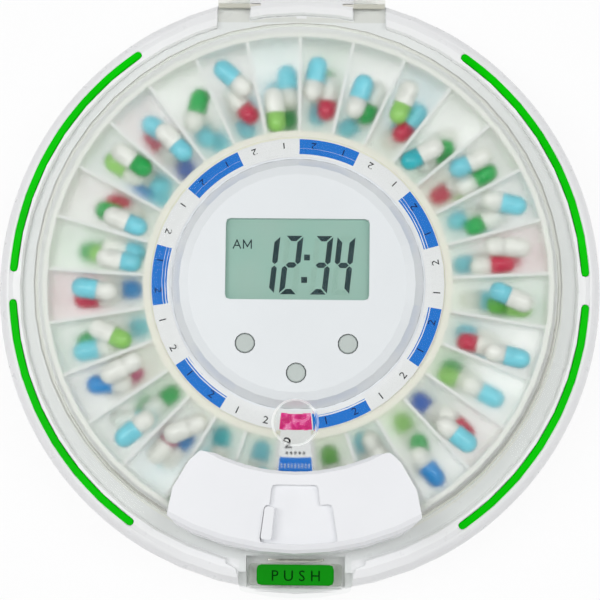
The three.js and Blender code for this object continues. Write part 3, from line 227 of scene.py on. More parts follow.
# Capsules by cell, counted counter-clockwise from the front:
# how far across, how far out, turned by, colour of the outer end, colour of the inner end
CAPSULES = {
    1: ((1.2, 57, 0, "white", "leaf"), (-1.0, 70, 8, "teal", "white"), (2, 65, 60, "white", "cyan")),
    2: ((1.5, 56, 4, "white", "cyan"), (-1.5, 57, -6, "white", "white"), (1.0, 70, 24, "azure", "white")),
    3: ((-0.8, 57, 6, "white", "apple"), (0.6, 65, 28, "white", "green"), (1.3, 69, 0, "azure", "white"),
        (3, 62, -6, "teal", "white")),
    4: ((1.8, 56, 0, "white", "navy"), (0.2, 65, 5, "crimson", "white"), (3.5, 67, -3, "cyan", "white")),
    5: ((-0.8, 58, 3, "white", "green"), (2.2, 58, -8, "white", "apple"), (1.5, 66, 0, "cyan", "white"),
        (3, 64, -5, "teal", "teal")),
    6: ((-0.8, 58, 0, "white", "cyan"), (2.4, 59, -5, "white", "crimson"), (3.0, 68, -2, "cyan", "white")),
    7: ((0, 58, 0, "cyan", "white"), (2.0, 66, 2, "apple", "leaf"), (-0.5, 66, 20, "white", "cyan")),
    8: ((0.5, 56, 0, "white", "cyan"), (2.8, 61, 2, "crimson", "white"), (-2, 66, 12, "white", "white")),
    9: ((-1.8, 58, 0, "white", "cyan"), (1.8, 62, -6, "white", "green"), (-1, 69, 34, "cyan", "white")),
    10: ((0, 57, 0, "white", "crimson"), (2.8, 65, 2, "green", "white"), (-2.4, 66, 8, "white", "cyan")),
    11: ((-0.2, 61, 0, "white", "cyan"), (2.6, 59, 8, "green", "white"), (-2, 56, 18, "white", "teal")),
    12: ((0.6, 59, 8, "cyan", "white"), (2.8, 62, 6, "cyan", "crimson"), (-2, 66, -10, "white", "apple")),
    13: ((-0.5, 56, 38, "white", "cyan"), (2.6, 62, 5, "white", "green"), (-1.4, 62, 0, "cyan", "white")),
    14: ((-0.5, 59, 0, "white", "cyan"), (2.6, 60, 0, "white", "crimson"), (-3, 65, 5, "cyan", "white")),
    15: ((-1.2, 60, 0, "cyan", "white"), (2.4, 57, 0, "white", "green"), (2.9, 63, 3, "cyan", "white"),
         (-2.2, 55, 0, "white", "apple")),
    16: ((-0.6, 57, -8, "white", "cyan"), (2.2, 60, -24, "white", "crimson"),
         (0.8, 68, -30, "cyan", "white")),
    17: ((2.0, 57, -12, "white", "cyan"), (-1.2, 60, 0, "white", "cyan"), (1.5, 64, 44, "green", "white"),
         (2.5, 63, -40, "green", "green")),
    18: ((1.0, 56, 20, "white", "navy"), (-1.2, 63, 4, "crimson", "white"), (2.4, 65, -14, "cyan", "white"),
         (2.6, 59, 0, "white", "cyan")),
    19: ((-0.6, 57, 0, "azure", "cyan"), (2.6, 58, 0, "white", "cyan"), (-0.6, 66, 0, "apple", "white"),
         (2.9, 65, 0, "white", "green")),
    20: ((2.6, 60, 4, "crimson", "white"), (-0.6, 61, -4, "green", "white"), (-2.5, 57, 0, "white", "cyan")),
    21: ((0, 60, -2, "apple", "white"), (1.8, 55.6, 0, "white", "cyan"), (-2.4, 56, 0, "white", "cyan")),
    22: ((2.2, 56, 2, "white", "azure"), (-0.8, 63, 0, "crimson", "white"), (1.5, 63, 12, "cyan", "white")),
    23: ((1.4, 55.6, 0, "white", "cyan"), (1.6, 65, -12, "green", "white"), (-2.5, 66, 3, "cyan", "white"),
         (3, 60, 40, "white", "apple")),
    24: ((-0.8, 62, -8, "white", "plum"), (0.2, 66, 22, "azure", "white"), (2.5, 60, 0, "white", "white")),
    25: ((0, 56, 0, "white", "green"), (2.8, 66, 42, "white", "cyan"), (-2, 67, 0, "cyan", "white")),
    26: ((-1.0, 63, 0, "white", "azure"), (2.6, 64, 2, "white", "plum"), (0, 56, 30, "white", "white")),
    27: ((0.8, 56, -18, "white", "teal"), (-1.5, 66, 0, "white", "white"), (2.4, 68, 10, "green", "white")),
    28: ((0, 56, 2, "white", "cyan"), (1.6, 68, -10, "crimson", "white"), (-2, 64, 20, "white", "cyan")),
}

# Up to two more capsules lie at the bottom of a cell: across, out, turned by, and the ends' colours
BOTTOM_PLACES = ((-1.6, 55, 10), (1.4, 64, -12))
BOTTOM_ENDS = (
    ("white", "cyan"), ("green", "white"), ("cyan", "white"), ("white", "apple"),
    ("crimson", "white"), ("white", "cyan"), ("white", "green"),
)

CAPSULE_COLOURS = {
    "cyan": (0.50, 0.86, 0.93),
    "azure": (0.02, 0.56, 0.85),
    "navy": (0.07, 0.36, 0.76),
    "teal": (0.16, 0.75, 0.80),
    "crimson": (0.82, 0.14, 0.30),
    "plum": (0.80, 0.30, 0.50),
    "green": (0.0, 0.68, 0.30),
    "leaf": (0.36, 0.70, 0.20),
    "apple": (0.60, 0.84, 0.42),
    "white": (0.96, 0.965, 0.94),
}


# Colours and node helpers
def linear(colour):
    """Linear light from the written screen colour."""
    return tuple(c / 12.92 if c <= 0.04045 else ((c + 0.055) / 1.055) ** 2.4 for c in colour) + (1.0,)


class Look:
    """A material with its node tree and a short way to add and join nodes."""

    def __init__(self, name, colour, roughness, **sockets):
        self.material = bpy.data.materials.new(name)
        self.material.use_nodes = True
        self.tree = self.material.node_tree
        self.shader = self.tree.nodes["Principled BSDF"]
        self.output = self.tree.nodes["Material Output"]
        self.shader.inputs["Base Color"].default_value = linear(colour)
        self.shader.inputs["Roughness"].default_value = roughness
        for socket, value in sockets.items():
            self.shader.inputs[socket.replace("_", " ")].default_value = value
        self.place = self.tree.nodes.new("ShaderNodeTexCoord").outputs["Object"]

    def node(self, kind, **settings):
        added = self.tree.nodes.new("ShaderNode" + kind)
        for key, value in settings.items():
            setattr(added, key, value)
        return added

    def join(self, source, target):
        self.tree.links.new(source, target)

    def noise(self, scale, detail=3.0):
        added = self.node("TexNoise")
        added.inputs["Scale"].default_value = scale
        added.inputs["Detail"].default_value = detail
        self.join(self.place, added.inputs["Vector"])
        return added.outputs["Fac"]

    def ramp(self, source, stops):
        added = self.node("ValToRGB")
        ramp = added.color_ramp
        while len(ramp.elements) < len(stops):
            ramp.elements.new(0.5)
        for element, (place, colour) in zip(ramp.elements, stops):
            element.position = place
            element.color = linear(colour)
        self.join(source, added.inputs["Fac"])
        return added.outputs["Color"]

    def spread(self, source, low, high):
        added = self.node("MapRange")
        added.inputs["To Min"].default_value = low
        added.inputs["To Max"].default_value = high
        self.join(source, added.inputs["Value"])
        return added.outputs["Result"]

    def bump(self, source, strength, distance):
        added = self.node("Bump")
        added.inputs["Strength"].default_value = strength
        added.inputs["Distance"].default_value = distance
        self.join(source, added.inputs["Height"])
        self.join(added.outputs["Normal"], self.shader.inputs["Normal"])

    def radius(self, y=0.0):
        """Distance from an upright axis at y, in metres."""
        flat = self.node("VectorMath", operation="MULTIPLY_ADD")
        flat.inputs[1].default_value = (1, 1, 0)
        flat.inputs[2].default_value = (0, -y, 0)
        self.join(self.place, flat.inputs[0])
        added = self.node("VectorMath", operation="LENGTH")
        self.join(flat.outputs["Vector"], added.inputs[0])
        return added.outputs["Value"]

    def between(self, source, span):
        """0 before a span in millimetres, 1 past it."""
        added = self.node("MapRange", interpolation_type="SMOOTHSTEP")
        added.inputs["From Min"].default_value = span[0] * MM
        added.inputs["From Max"].default_value = span[1] * MM
        self.join(source, added.inputs["Value"])
        return added.outputs["Result"]

    def mixed(self, share, first, second):
        added = self.node("Mix", data_type="RGBA")
        for socket, value in ((added.inputs[6], first), (added.inputs[7], second)):
            if isinstance(value, bpy.types.NodeSocket):
                self.join(value, socket)
            else:
                socket.default_value = linear(value)
        self.join(share, added.inputs[0])
        return added.outputs[2]


def tone(colour, change):
    """A colour made lighter, or darker where the change is below 0."""
    return tuple(min(1.0, max(0.0, c * (1 + change))) for c in colour)


def moulded(name, colour, roughness, grain=0.05, spread=0.05, drift=0.02, coat=0.0, gloss=0.5):
    """Injection moulded plastic: a faint drift of colour, uneven gloss and a fine grain."""
    look = Look(name, colour, roughness, IOR=1.46, Coat_Weight=coat, Coat_Roughness=0.06,
                Specular_IOR_Level=gloss)
    clouds = look.noise(35.0, 4.0)
    stops = ((0.3, tone(colour, -drift)), (0.7, tone(colour, drift * 0.3)))
    look.join(look.ramp(clouds, stops), look.shader.inputs["Base Color"])
    look.join(look.spread(look.noise(270.0), roughness - spread, roughness + spread),
              look.shader.inputs["Roughness"])
    look.bump(look.noise(900.0, 2.0), grain, 0.1 * MM)
    return look


def clear(name, tint, roughness, shade, bend, passed=("Is Shadow Ray", "Is Diffuse Ray")):
    """Clear plastic that lets the lamps and other named rays through to what is behind it."""
    look = Look(name, tint, roughness, IOR=bend, Transmission_Weight=1.0)
    uneven = look.spread(look.noise(90.0), roughness * 0.6, roughness * 1.4)
    look.join(uneven, look.shader.inputs["Roughness"])
    passing = look.node("BsdfTransparent")
    passing.inputs["Color"].default_value = linear(shade)
    path = look.node("LightPath")
    light = look.shader.outputs["BSDF"]
    for ray in passed:
        mix = look.node("MixShader")
        look.join(path.outputs[ray], mix.inputs[0])
        look.join(light, mix.inputs[1])
        look.join(passing.outputs["BSDF"], mix.inputs[2])
        light = mix.outputs["Shader"]
    look.join(light, look.output.inputs["Surface"])
    return look


def lid_look():
    """Clear plastic, finely textured over the cells and warmer where the wall is seen edge on."""
    passed = ("Is Shadow Ray", "Is Glossy Ray", "Is Diffuse Ray")
    look = clear("lid_clear", (0.992, 0.994, 0.996), 0.03, (0.985, 0.988, 0.985), 1.1, passed)
    radius = look.radius()
    textured = look.between(radius, LID_TEXTURE_SPAN)
    wall = look.between(radius, LID_WALL_SPAN)
    flange = look.between(radius, LID_FLANGE_SPAN)
    over_cells = look.node("Math", operation="SUBTRACT")
    look.join(textured, over_cells.inputs[0])
    look.join(wall, over_cells.inputs[1])
    level = look.node("Math", operation="MULTIPLY_ADD")
    look.join(over_cells.outputs["Value"], level.inputs[0])
    look.join(look.spread(look.noise(120.0, 3.0), 0.68, 0.80), level.inputs[1])
    level.inputs[2].default_value = 0.02
    look.join(level.outputs["Value"], look.shader.inputs["Roughness"])
    edge = look.node("Math", operation="SUBTRACT")
    look.join(wall, edge.inputs[0])
    look.join(flange, edge.inputs[1])
    warm = look.mixed(edge.outputs["Value"], (0.992, 0.994, 0.996), (0.99, 0.985, 0.94))
    apart = look.node("SeparateXYZ")
    look.join(look.place, apart.inputs["Vector"])
    arms = look.between(apart.outputs["Y"], LID_ARM_SPAN)
    look.join(look.mixed(arms, warm, (0.90, 0.895, 0.865)), look.shader.inputs["Base Color"])
    return look


def lens_look():
    """Clear lens with a paler, finely ground rim that also glows faintly: painted light."""
    look = clear("lens_clear", (0.99, 0.99, 0.985), 0.01, (0.97, 0.97, 0.97), 1.12)
    rim = look.between(look.radius(LENS_Y * MM), LENS_RIM_SPAN)
    look.join(look.spread(rim, 0.01, 0.35), look.shader.inputs["Roughness"])
    look.join(look.mixed(rim, (0.99, 0.99, 0.985), (0.93, 0.935, 0.93)), look.shader.inputs["Base Color"])
    # Painted light: the rim glows faintly, though no lamp is in it.
    look.join(look.spread(rim, 0.0, 0.18), look.shader.inputs["Emission Strength"])
    look.shader.inputs["Emission Color"].default_value = (0.8, 0.8, 0.8, 1)
    return look


def tray_look():
    """Milky plastic, creamier at its inner wall. Painted light: it glows faintly, most at the bottom of the
    cells, in place of the light that its walls would carry down.
    """
    look = Look("tray_milky", (0.96, 0.975, 0.96), 0.4, IOR=1.4, Subsurface_Weight=0.5, Subsurface_Scale=1.0)
    look.shader.inputs["Subsurface Radius"].default_value = (3.0 * MM, 3.4 * MM, 3.0 * MM)
    radius = look.radius()
    inner = look.between(radius, TRAY_INNER_SPAN)
    outer = look.between(radius, TRAY_OUTER_SPAN)
    clouds = look.ramp(look.noise(40.0, 3.0), ((0.3, (0.955, 0.975, 0.955)), (0.7, (0.975, 0.98, 0.97))))
    creamy = look.mixed(inner, clouds, (0.97, 0.965, 0.90))
    look.join(look.mixed(outer, creamy, (0.955, 0.965, 0.93)), look.shader.inputs["Base Color"])
    # Painted light: the glow fades from the cell floor to black near the tray's top, and is a little
    # stronger in the outer cells.
    apart = look.node("SeparateXYZ")
    look.join(look.place, apart.inputs["Vector"])
    depth = look.between(apart.outputs["Z"], (FLOOR_TOP, PAINTED_GLOW_TOP))
    look.shader.inputs["Emission Color"].default_value = (0, 0, 0, 1)
    glow = look.mixed(look.between(radius, PAINTED_GLOW_RADIUS_SPAN), PAINTED_GLOW, PAINTED_GLOW_OUTER)
    look.join(look.mixed(depth, glow, (0, 0, 0)), look.shader.inputs["Emission Color"])
    look.shader.inputs["Emission Strength"].default_value = 1.0
    look.bump(look.noise(700.0, 2.0), 0.05, 0.1 * MM)
    return look


def ink(name, colour, screen=0.05):
    """Print with a faint screen of dots in its tone."""
    look = Look(name, colour, 0.45, Specular_IOR_Level=0.15)
    dots = look.node("TexVoronoi")
    dots.inputs["Scale"].default_value = 2600.0
    look.join(look.place, dots.inputs["Vector"])
    stops = ((0.2, tone(colour, -screen)), (0.6, tone(colour, screen * 0.6)))
    look.join(look.ramp(dots.outputs["Distance"], stops), look.shader.inputs["Base Color"])
    return look


def start_field_look():
    """The start field: pink print with lighter and darker blots."""
    look = Look("print_pink", (0.92, 0.20, 0.56), 0.4, Specular_IOR_Level=0.15)
    stops = ((0.36, (0.84, 0.12, 0.46)), (0.5, (0.93, 0.20, 0.57)), (0.64, (0.98, 0.55, 0.76)))
    look.join(look.ramp(look.noise(420.0, 1.0), stops), look.shader.inputs["Base Color"])
    return look


def metal(name, colour, roughness, stretch=(1, 1, 1)):
    """Drawn or rolled metal with fine streaks."""
    look = Look(name, colour, roughness, Metallic=1.0)
    scale = look.node("VectorMath", operation="MULTIPLY")
    scale.inputs[1].default_value = stretch
    look.join(look.place, scale.inputs[0])
    streaks = look.node("TexNoise")
    streaks.inputs["Scale"].default_value = 400.0
    streaks.inputs["Detail"].default_value = 4.0
    look.join(scale.outputs["Vector"], streaks.inputs["Vector"])
    look.join(look.ramp(streaks.outputs["Fac"], ((0.3, tone(colour, -0.12)), (0.7, tone(colour, 0.05)))),
              look.shader.inputs["Base Color"])
    look.join(look.spread(streaks.outputs["Fac"], roughness - 0.08, roughness + 0.1),
              look.shader.inputs["Roughness"])
    return look


def rubber_look():
    """Dark rubber with a coarse grain."""
    look = Look("foot_rubber", (0.16, 0.16, 0.17), 0.85)
    look.bump(look.noise(1600.0, 4.0), 0.3, 0.1 * MM)
    look.join(look.ramp(look.noise(300.0), ((0.3, (0.13, 0.13, 0.14)), (0.7, (0.20, 0.20, 0.21)))),
              look.shader.inputs["Base Color"])
    return look


def display_look():
    """Grey-green liquid crystal panel with soft bands."""
    look = Look("display_grey", (0.645, 0.79, 0.748), 0.35, Specular_IOR_Level=0.2)
    stops = ((0.35, (0.635, 0.79, 0.748)), (0.65, (0.665, 0.79, 0.753)))
    look.join(look.ramp(look.noise(45.0, 2.0), stops), look.shader.inputs["Base Color"])
    look.bump(look.noise(3000.0, 1.0), 0.03, 0.05 * MM)
    return look


def board_look():
    """Solder mask with paler tracks."""
    look = Look("board_green", (0.10, 0.36, 0.20), 0.35, Coat_Weight=0.3, Coat_Roughness=0.1)
    tracks = look.node("TexBrick")
    tracks.inputs["Scale"].default_value = 160.0
    tracks.inputs["Mortar Size"].default_value = 0.03
    tracks.inputs["Color1"].default_value = linear((0.09, 0.34, 0.19))
    tracks.inputs["Color2"].default_value = linear((0.11, 0.38, 0.22))
    tracks.inputs["Mortar"].default_value = linear((0.20, 0.52, 0.32))
    look.join(look.place, tracks.inputs["Vector"])
    look.join(tracks.outputs["Color"], look.shader.inputs["Base Color"])
    return look


def cell_look(name, turned):
    """Battery sleeve with a copper-coloured band towards the raised end and bare metal at both ends."""
    look = Look(name, (0.20, 0.23, 0.27), 0.3, Metallic=0.3, Coat_Weight=0.5, Coat_Roughness=0.1)
    apart = look.node("SeparateXYZ")
    look.join(look.place, apart.inputs["Vector"])
    along = look.node("MapRange")
    side = 1 if turned else -1
    along.inputs["From Min"].default_value = side * FLAT_END * MM
    along.inputs["From Max"].default_value = -side * RAISED_END * MM
    look.join(apart.outputs["Y"], along.inputs["Value"])
    stops = (
        (0.0, (0.80, 0.81, 0.82)), (0.03, (0.18, 0.20, 0.24)), (0.68, (0.18, 0.20, 0.24)),
        (0.70, (0.82, 0.60, 0.38)), (0.95, (0.82, 0.60, 0.38)), (0.97, (0.80, 0.81, 0.82)),
    )
    look.join(look.ramp(along.outputs["Result"], stops), look.shader.inputs["Base Color"])
    look.bump(look.noise(900.0), 0.04, 0.1 * MM)
    return look


def capsule_look(name, colour):
    """Gelatine shell: glossy, with a slight cloud in its tone."""
    look = Look("capsule_" + name, colour, 0.22, IOR=1.5)
    look.join(look.ramp(look.noise(260.0, 2.0), ((0.3, tone(colour, -0.06)), (0.7, tone(colour, 0.04)))),
              look.shader.inputs["Base Color"])
    look.bump(look.noise(500.0, 2.0), 0.04, 0.1 * MM)
    return look


# Mesh helpers
def polar(radius, degrees):
    """Place in plan at a radius and an angle from +X."""
    return Vector((radius * math.cos(math.radians(degrees)), radius * math.sin(math.radians(degrees))))


def made(name, bm, materials, body, smooth=False):
    """Turns a bmesh in millimetres into a piece that rides on a body."""
    bmesh.ops.recalc_face_normals(bm, faces=bm.faces)
    bmesh.ops.scale(bm, vec=(MM, MM, MM), verts=bm.verts)
    mesh = bpy.data.meshes.new(name)
    bm.to_mesh(mesh)
    bm.free()
    for material in materials:
        mesh.materials.append(material)
    if smooth:
        mesh.shade_smooth()
    piece = bpy.data.objects.new(name, mesh)
    bpy.context.collection.objects.link(piece)
    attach(piece, body)
    return piece


def slab(bm, outline, low, high, material=0):
    """A flat closed prism over a plan outline."""
    bottom = [bm.verts.new((x, y, low)) for x, y in outline]
    top = [bm.verts.new((x, y, high)) for x, y in outline]
    faces = [bm.faces.new(bottom[::-1]), bm.faces.new(top)]
    for index in range(len(outline)):
        after = (index + 1) % len(outline)
        faces.append(bm.faces.new((bottom[index], bottom[after], top[after], top[index])))
    for face in faces:
        face.material_index = material


def rectangle(left, right, low, high):
    return [(left, low), (right, low), (right, high), (left, high)]


def sector(inner, outer, low, high, step=1.5):
    """Plan of a piece of a ring between two angles."""
    count = max(1, round((high - low) / step))
    angles = [low + (high - low) * index / count for index in range(count + 1)]
    return [polar(outer, angle) for angle in angles] + [polar(inner, angle) for angle in reversed(angles)]


def rounded(left, right, low, high, corner, steps=5):
    """Rectangle with round corners."""
    points = []
    corners = ((right - corner, high - corner, 0), (left + corner, high - corner, 90),
               (left + corner, low + corner, 180), (right - corner, low + corner, 270))
    for x, y, start in corners:
        for index in range(steps + 1):
            points.append(Vector((x, y)) + polar(corner, start + 90 * index / steps))
    return points


def lettering(bm, text, height, centre, turn, base, thickness, spacing=1.0):
    """Adds a raised word or figure to a bmesh, centred on a place and turned in plan."""
    curve = bpy.data.curves.new("lettering", "FONT")
    curve.body = text
    curve.align_x = "CENTER"
    curve.align_y = "CENTER"
    curve.size = height / CAPITALS
    curve.space_character = spacing
    curve.extrude = thickness / 2
    curve.resolution_u = 3
    carrier = bpy.data.objects.new("lettering", curve)
    bpy.context.collection.objects.link(carrier)
    bpy.context.view_layer.update()
    mesh = bpy.data.meshes.new_from_object(carrier)
    across = [vertex.co.x for vertex in mesh.vertices]
    along = [vertex.co.y for vertex in mesh.vertices]
    middle_x = (min(across) + max(across)) / 2
    middle_y = (min(along) + max(along)) / 2
    centred = Matrix.Translation((-middle_x, -middle_y, 0))
    turned = Matrix.Rotation(math.radians(turn), 4, "Z")
    mesh.transform(Matrix.Translation((centre[0], centre[1], base + thickness / 2)) @ turned @ centred)
    bm.from_mesh(mesh)
    bpy.data.objects.remove(carrier)
    bpy.data.curves.remove(curve)
    bpy.data.meshes.remove(mesh)


# Dosage ring
def is_blue(cell):
    """The fields go round in pairs of cells, blue and white in turn."""
    return ((cell - 1) // 2) % 2 == 0


def ring_fields(blue, pink):
    """Blue fields and the box on the tab, and the pink start field."""
    bm = bmesh.new()
    low, high = RING_TOP, RING_TOP + INK
    gap = math.degrees(FIELD_GAP / 2 / RING_OUTER)
    for first in range(1, DIVISIONS, 2):
        if is_blue(first):
            start = FRONT + (first - 0.5) * STEP + gap
            end = FRONT + (first + 1.5) * STEP - gap
            slab(bm, sector(RING_INNER + RING_EDGE, RING_OUTER - RING_EDGE, start, end), low, high, 0)
    half = STEP / 2 - gap
    slab(bm, sector(START_INNER, START_OUTER, FRONT - half, FRONT + half), low, high, 1)
    half = TAB_ANGLE - BOX_SIDE_ANGLE
    slab(bm, sector(BOX_INNER, TAB_REACH - BOX_END, FRONT - half, FRONT + half), low, high, 0)
    made("dosage_fields", bm, [blue, pink], "carousel")


def hoop(name, section, material, body):
    """Flat closed hoop round the centre."""
    inner, outer, low, top = section
    bm = bmesh.new()
    loops = []
    for radius, z in ((inner, low), (inner, top), (outer, top), (outer, low)):
        places = [polar(radius, index * 360 / HOOP_SIDES) for index in range(HOOP_SIDES)]
        loops.append([bm.verts.new((*place, z)) for place in places])
    for first, second in zip(loops, loops[1:] + loops[:1]):
        for index in range(HOOP_SIDES):
            after = (index + 1) % HOOP_SIDES
            bm.faces.new((first[index], first[after], second[after], second[index]))
    made(name, bm, [material], body)


def row_of_marks(bm, count, step, half, span, low):
    """Small upright marks in a row across the middle of the tab."""
    for index in range(count):
        x = (index - (count - 1) / 2) * step
        slab(bm, rectangle(x - half, x + half, *span), low, low + INK)


def ring_digits(dark, grey):
    """A figure for each cell, darker on the blue fields, and the print on the tab."""
    bm = bmesh.new()
    pale = bmesh.new()
    for cell in range(1, DIVISIONS):
        angle = FRONT + cell * STEP
        figure = "1" if cell % 2 else "2"
        target, base = (bm, RING_TOP + INK) if is_blue(cell) else (pale, RING_TOP)
        lettering(target, figure, DIGIT_HEIGHT, polar(DIGIT_RADIUS, angle), angle - FRONT, base, INK)
    lettering(pale, "2", TAB_FIGURE_HEIGHT, TAB_FIGURE_PLACE, 0, RING_TOP, INK)
    row_of_marks(pale, DOT_COUNT, DOT_STEP, DOT_HALF, DOT_SPAN, RING_TOP)
    made("dosage_digits_dark", bm, [dark], "carousel")
    made("dosage_digits_grey", pale, [grey], "carousel")


def tab_ticks(white):
    bm = bmesh.new()
    row_of_marks(bm, TICK_COUNT, TICK_STEP, TICK_HALF, TICK_SPAN, RING_TOP + INK)
    made("tab_scale", bm, [white], "carousel")


# Capsules
def capsule_profile(radius, sides_from, sides_to):
    """Half outline of one end: a straight side and a round tip, as (along, radius) pairs."""
    points = [(sides_from, radius)]
    steps = 5
    for index in range(steps + 1):
        angle = math.radians(90 * index / steps)
        points.append((sides_to + radius * math.sin(angle), radius * math.cos(angle)))
    return points


def half_shell(bm, profile, matrix, material, segments=16):
    """Revolves an outline of (along, radius) pairs about the axis that the matrix places."""
    rings = []
    for along, radius in profile:
        if radius < 1e-4:
            rings.append([bm.verts.new(matrix @ Vector((along, 0, 0)))])
            continue
        ring = []
        for index in range(segments):
            angle = 2 * math.pi * index / segments
            place = Vector((along, radius * math.cos(angle), radius * math.sin(angle)))
            ring.append(bm.verts.new(matrix @ place))
        rings.append(ring)
    for first, second in zip(rings, rings[1:]):
        for index in range(segments):
            after = (index + 1) % segments
            if len(second) == 1:
                face = bm.faces.new((first[index], first[after], second[0]))
            elif len(first) == 1:
                face = bm.faces.new((first[0], second[after], second[index]))
            else:
                face = bm.faces.new((first[index], first[after], second[after], second[index]))
            face.material_index = material
            face.smooth = True


def capsule(bm, matrix, outer, inner, materials):
    """A body that slides into a slightly wider cap, each closed on its own."""
    end = CAPSULE_LENGTH / 2
    lip = end - CAP_LENGTH
    cap = [(lip, 0), (lip, CAP_RADIUS - LIP_BEVEL), (lip + LIP_BEVEL, CAP_RADIUS)]
    cap += capsule_profile(CAP_RADIUS, lip + LIP_LENGTH, end - CAP_RADIUS)
    half_shell(bm, cap, matrix, materials.index(outer))
    body = [(-lip, 0)]
    body += capsule_profile(BODY_RADIUS, -lip, end - BODY_RADIUS)
    half_shell(bm, body, matrix @ Matrix.Rotation(math.pi, 4, "Z"), materials.index(inner))


def segment_distance(a, b, c, d):
    """Least distance between the segments a-b and c-d, by stepping along a-b."""
    best = math.inf
    steps = 12
    line = d - c
    for index in range(steps + 1):
        place = a.lerp(b, index / steps)
        share = max(0.0, min(1.0, (place - c).dot(line) / line.length_squared))
        best = min(best, (place - (c + line * share)).length)
    return best


def capsule_spot(cell, across, radius, turn):
    """Middle and axis of a capsule, kept clear of the cell's walls."""
    half = (CAPSULE_LENGTH - 2 * CAP_RADIUS) / 2
    reach = CAP_RADIUS + WALL_GAP
    angle = math.radians(FRONT + cell * STEP)
    out = Vector((math.cos(angle), math.sin(angle), 0))
    side = Vector((math.sin(angle), -math.cos(angle), 0))
    along = half * math.cos(math.radians(turn))
    aside = half * math.sin(math.radians(turn))
    radius = min(max(radius, CELL_INNER + reach + along), CELL_OUTER - reach - along)
    slope = math.radians(STEP / 2)
    rooms = []
    for sign in (-1, 1):
        width = (radius + sign * along) * math.tan(slope) - (DIVIDER_HALF + reach) / math.cos(slope)
        rooms.append((-width - sign * aside, width - sign * aside))
    low = max(room[0] for room in rooms)
    high = min(room[1] for room in rooms)
    across = (low + high) / 2 if low > high else min(max(across, low), high)
    return out * radius + side * across, (out * along + side * aside).normalized()


def dropped(centre, axis, resting):
    """Ends of the capsule's core where it comes to rest on the floor or on those below."""
    half = axis * (CAPSULE_LENGTH - 2 * CAP_RADIUS) / 2
    height = FLOOR_TOP + CAP_RADIUS + RESTING_GAP
    while True:
        middle = Vector((centre.x, centre.y, height))
        ends = (middle - half, middle + half)
        if all(segment_distance(*ends, *other) > CAP_RADIUS * 2 + RESTING_GAP for other in resting):
            return ends
        height += DROP_STEP


def filled_cell(cell, capsules):
    """The cell's capsules at rest, and whether all of them stay below the top of the tray."""
    places = []
    resting = []
    fits = True
    for across, radius, turn, outer, inner in capsules:
        centre, axis = capsule_spot(cell, across, radius, turn)
        ends = dropped(centre, axis, resting)
        if ends[0].z + CAP_RADIUS > CAPSULES_TOP:
            fits = False
            continue
        resting.append(ends)
        basis = Matrix((axis, Vector((-axis.y, axis.x, 0)), Vector((0, 0, 1)))).transposed().to_4x4()
        places.append((Matrix.Translation((ends[0] + ends[1]) / 2) @ basis, outer, inner))
    return places, fits


def capsule_places():
    """Every cell with as many of the bottom capsules as leave room for the named ones."""
    places = []
    for cell, capsules in CAPSULES.items():
        bottom = [place + BOTTOM_ENDS[(cell * 3 + index) % len(BOTTOM_ENDS)]
                  for index, place in enumerate(BOTTOM_PLACES)]
        for left_out in range(len(bottom) + 1):
            inside, fits = filled_cell(cell, bottom[left_out:] + list(capsules))
            if fits:
                break
        places += inside
    return places


def all_capsules():
    """All capsules as one piece that turns with the tray."""
    names = list(CAPSULE_COLOURS)
    bm = bmesh.new()
    for matrix, outer, inner in capsule_places():
        capsule(bm, matrix, outer, inner, names)
    looks = [capsule_look(name, CAPSULE_COLOURS[name]).material for name in names]
    made("capsules", bm, looks, "carousel")


# Display
def segment_outlines():
    """The seven segments of an upright figure, from its lower left corner."""
    thick, wide, tall, gap = STROKE, DIGIT_WIDTH, DIGIT_TALL, SEGMENT_GAP
    mitre = gap * 1.4
    notch = gap * 0.6
    middle = tall / 2
    left_upper = [(0, tall - mitre), (thick, tall - thick - mitre), (thick, middle + thick / 2 + notch),
                  (thick / 2, middle + gap), (0, middle + thick / 2 + notch)]
    top = [(mitre, tall), (thick + mitre, tall - thick), (wide - thick - mitre, tall - thick),
           (wide - mitre, tall)]
    bar = [(thick / 2 + gap, middle), (thick + gap, middle + thick / 2),
           (wide - thick - gap, middle + thick / 2), (wide - thick / 2 - gap, middle),
           (wide - thick - gap, middle - thick / 2), (thick + gap, middle - thick / 2)]

    def mirror(points):
        return [(wide - x, y) for x, y in points]

    def flip(points):
        return [(x, tall - y) for x, y in points]

    return {
        "a": top, "b": mirror(left_upper), "c": mirror(flip(left_upper)), "d": flip(top),
        "e": flip(left_upper), "f": left_upper, "g": bar,
    }


def slanted(points, left):
    """A segment leaning to the right, in its place on the panel."""
    return [(GLASS_LEFT + left + x + SLANT * y, GLASS_LOW + DIGIT_BASE + y) for x, y in points]


def display_figures(dark, ghost):
    """The time with its colon and morning mark, and faint unlit segments beside all figures but the 1."""
    shapes = segment_outlines()
    lit = bmesh.new()
    faint = bmesh.new()
    for figure, left in zip(TIME_SHOWN, DIGIT_LEFTS):
        for name in ALL_SEGMENTS:
            if name in SEGMENTS[figure]:
                slab(lit, slanted(shapes[name], left), FIGURE_LOW, LIT_TOP)
            elif figure != "1":
                slab(faint, slanted(shapes[name], left), FIGURE_LOW, UNLIT_TOP)
    for x, y in COLON_PLACES:
        left, low = GLASS_LEFT + x, GLASS_LOW + y
        slab(lit, rectangle(left, left + COLON, low, low + COLON), FIGURE_LOW, LIT_TOP)
    corner = Vector((GLASS_LEFT + MARK_LEFT, GLASS_LOW + MARK_BASE))
    for start, end in MARK:
        along = (Vector(end) - Vector(start)).normalized() * MARK_STROKE / 2
        across = Vector((-along.y, along.x))
        low = corner + Vector(start) - along
        high = corner + Vector(end) + along
        slab(lit, [low - across, high - across, high + across, low + across], FIGURE_LOW, LIT_TOP)
    made("display_digits", lit, [dark], "base")
    made("display_unlit", faint, [ghost], "base")


# Small pieces
def label_word(dark):
    bm = bmesh.new()
    lettering(bm, "PUSH", LABEL_HEIGHT, LABEL_PLACE, 0, LABEL_TOP, INK * 2, LABEL_SPACING)
    made("label_word", bm, [dark], "latch")


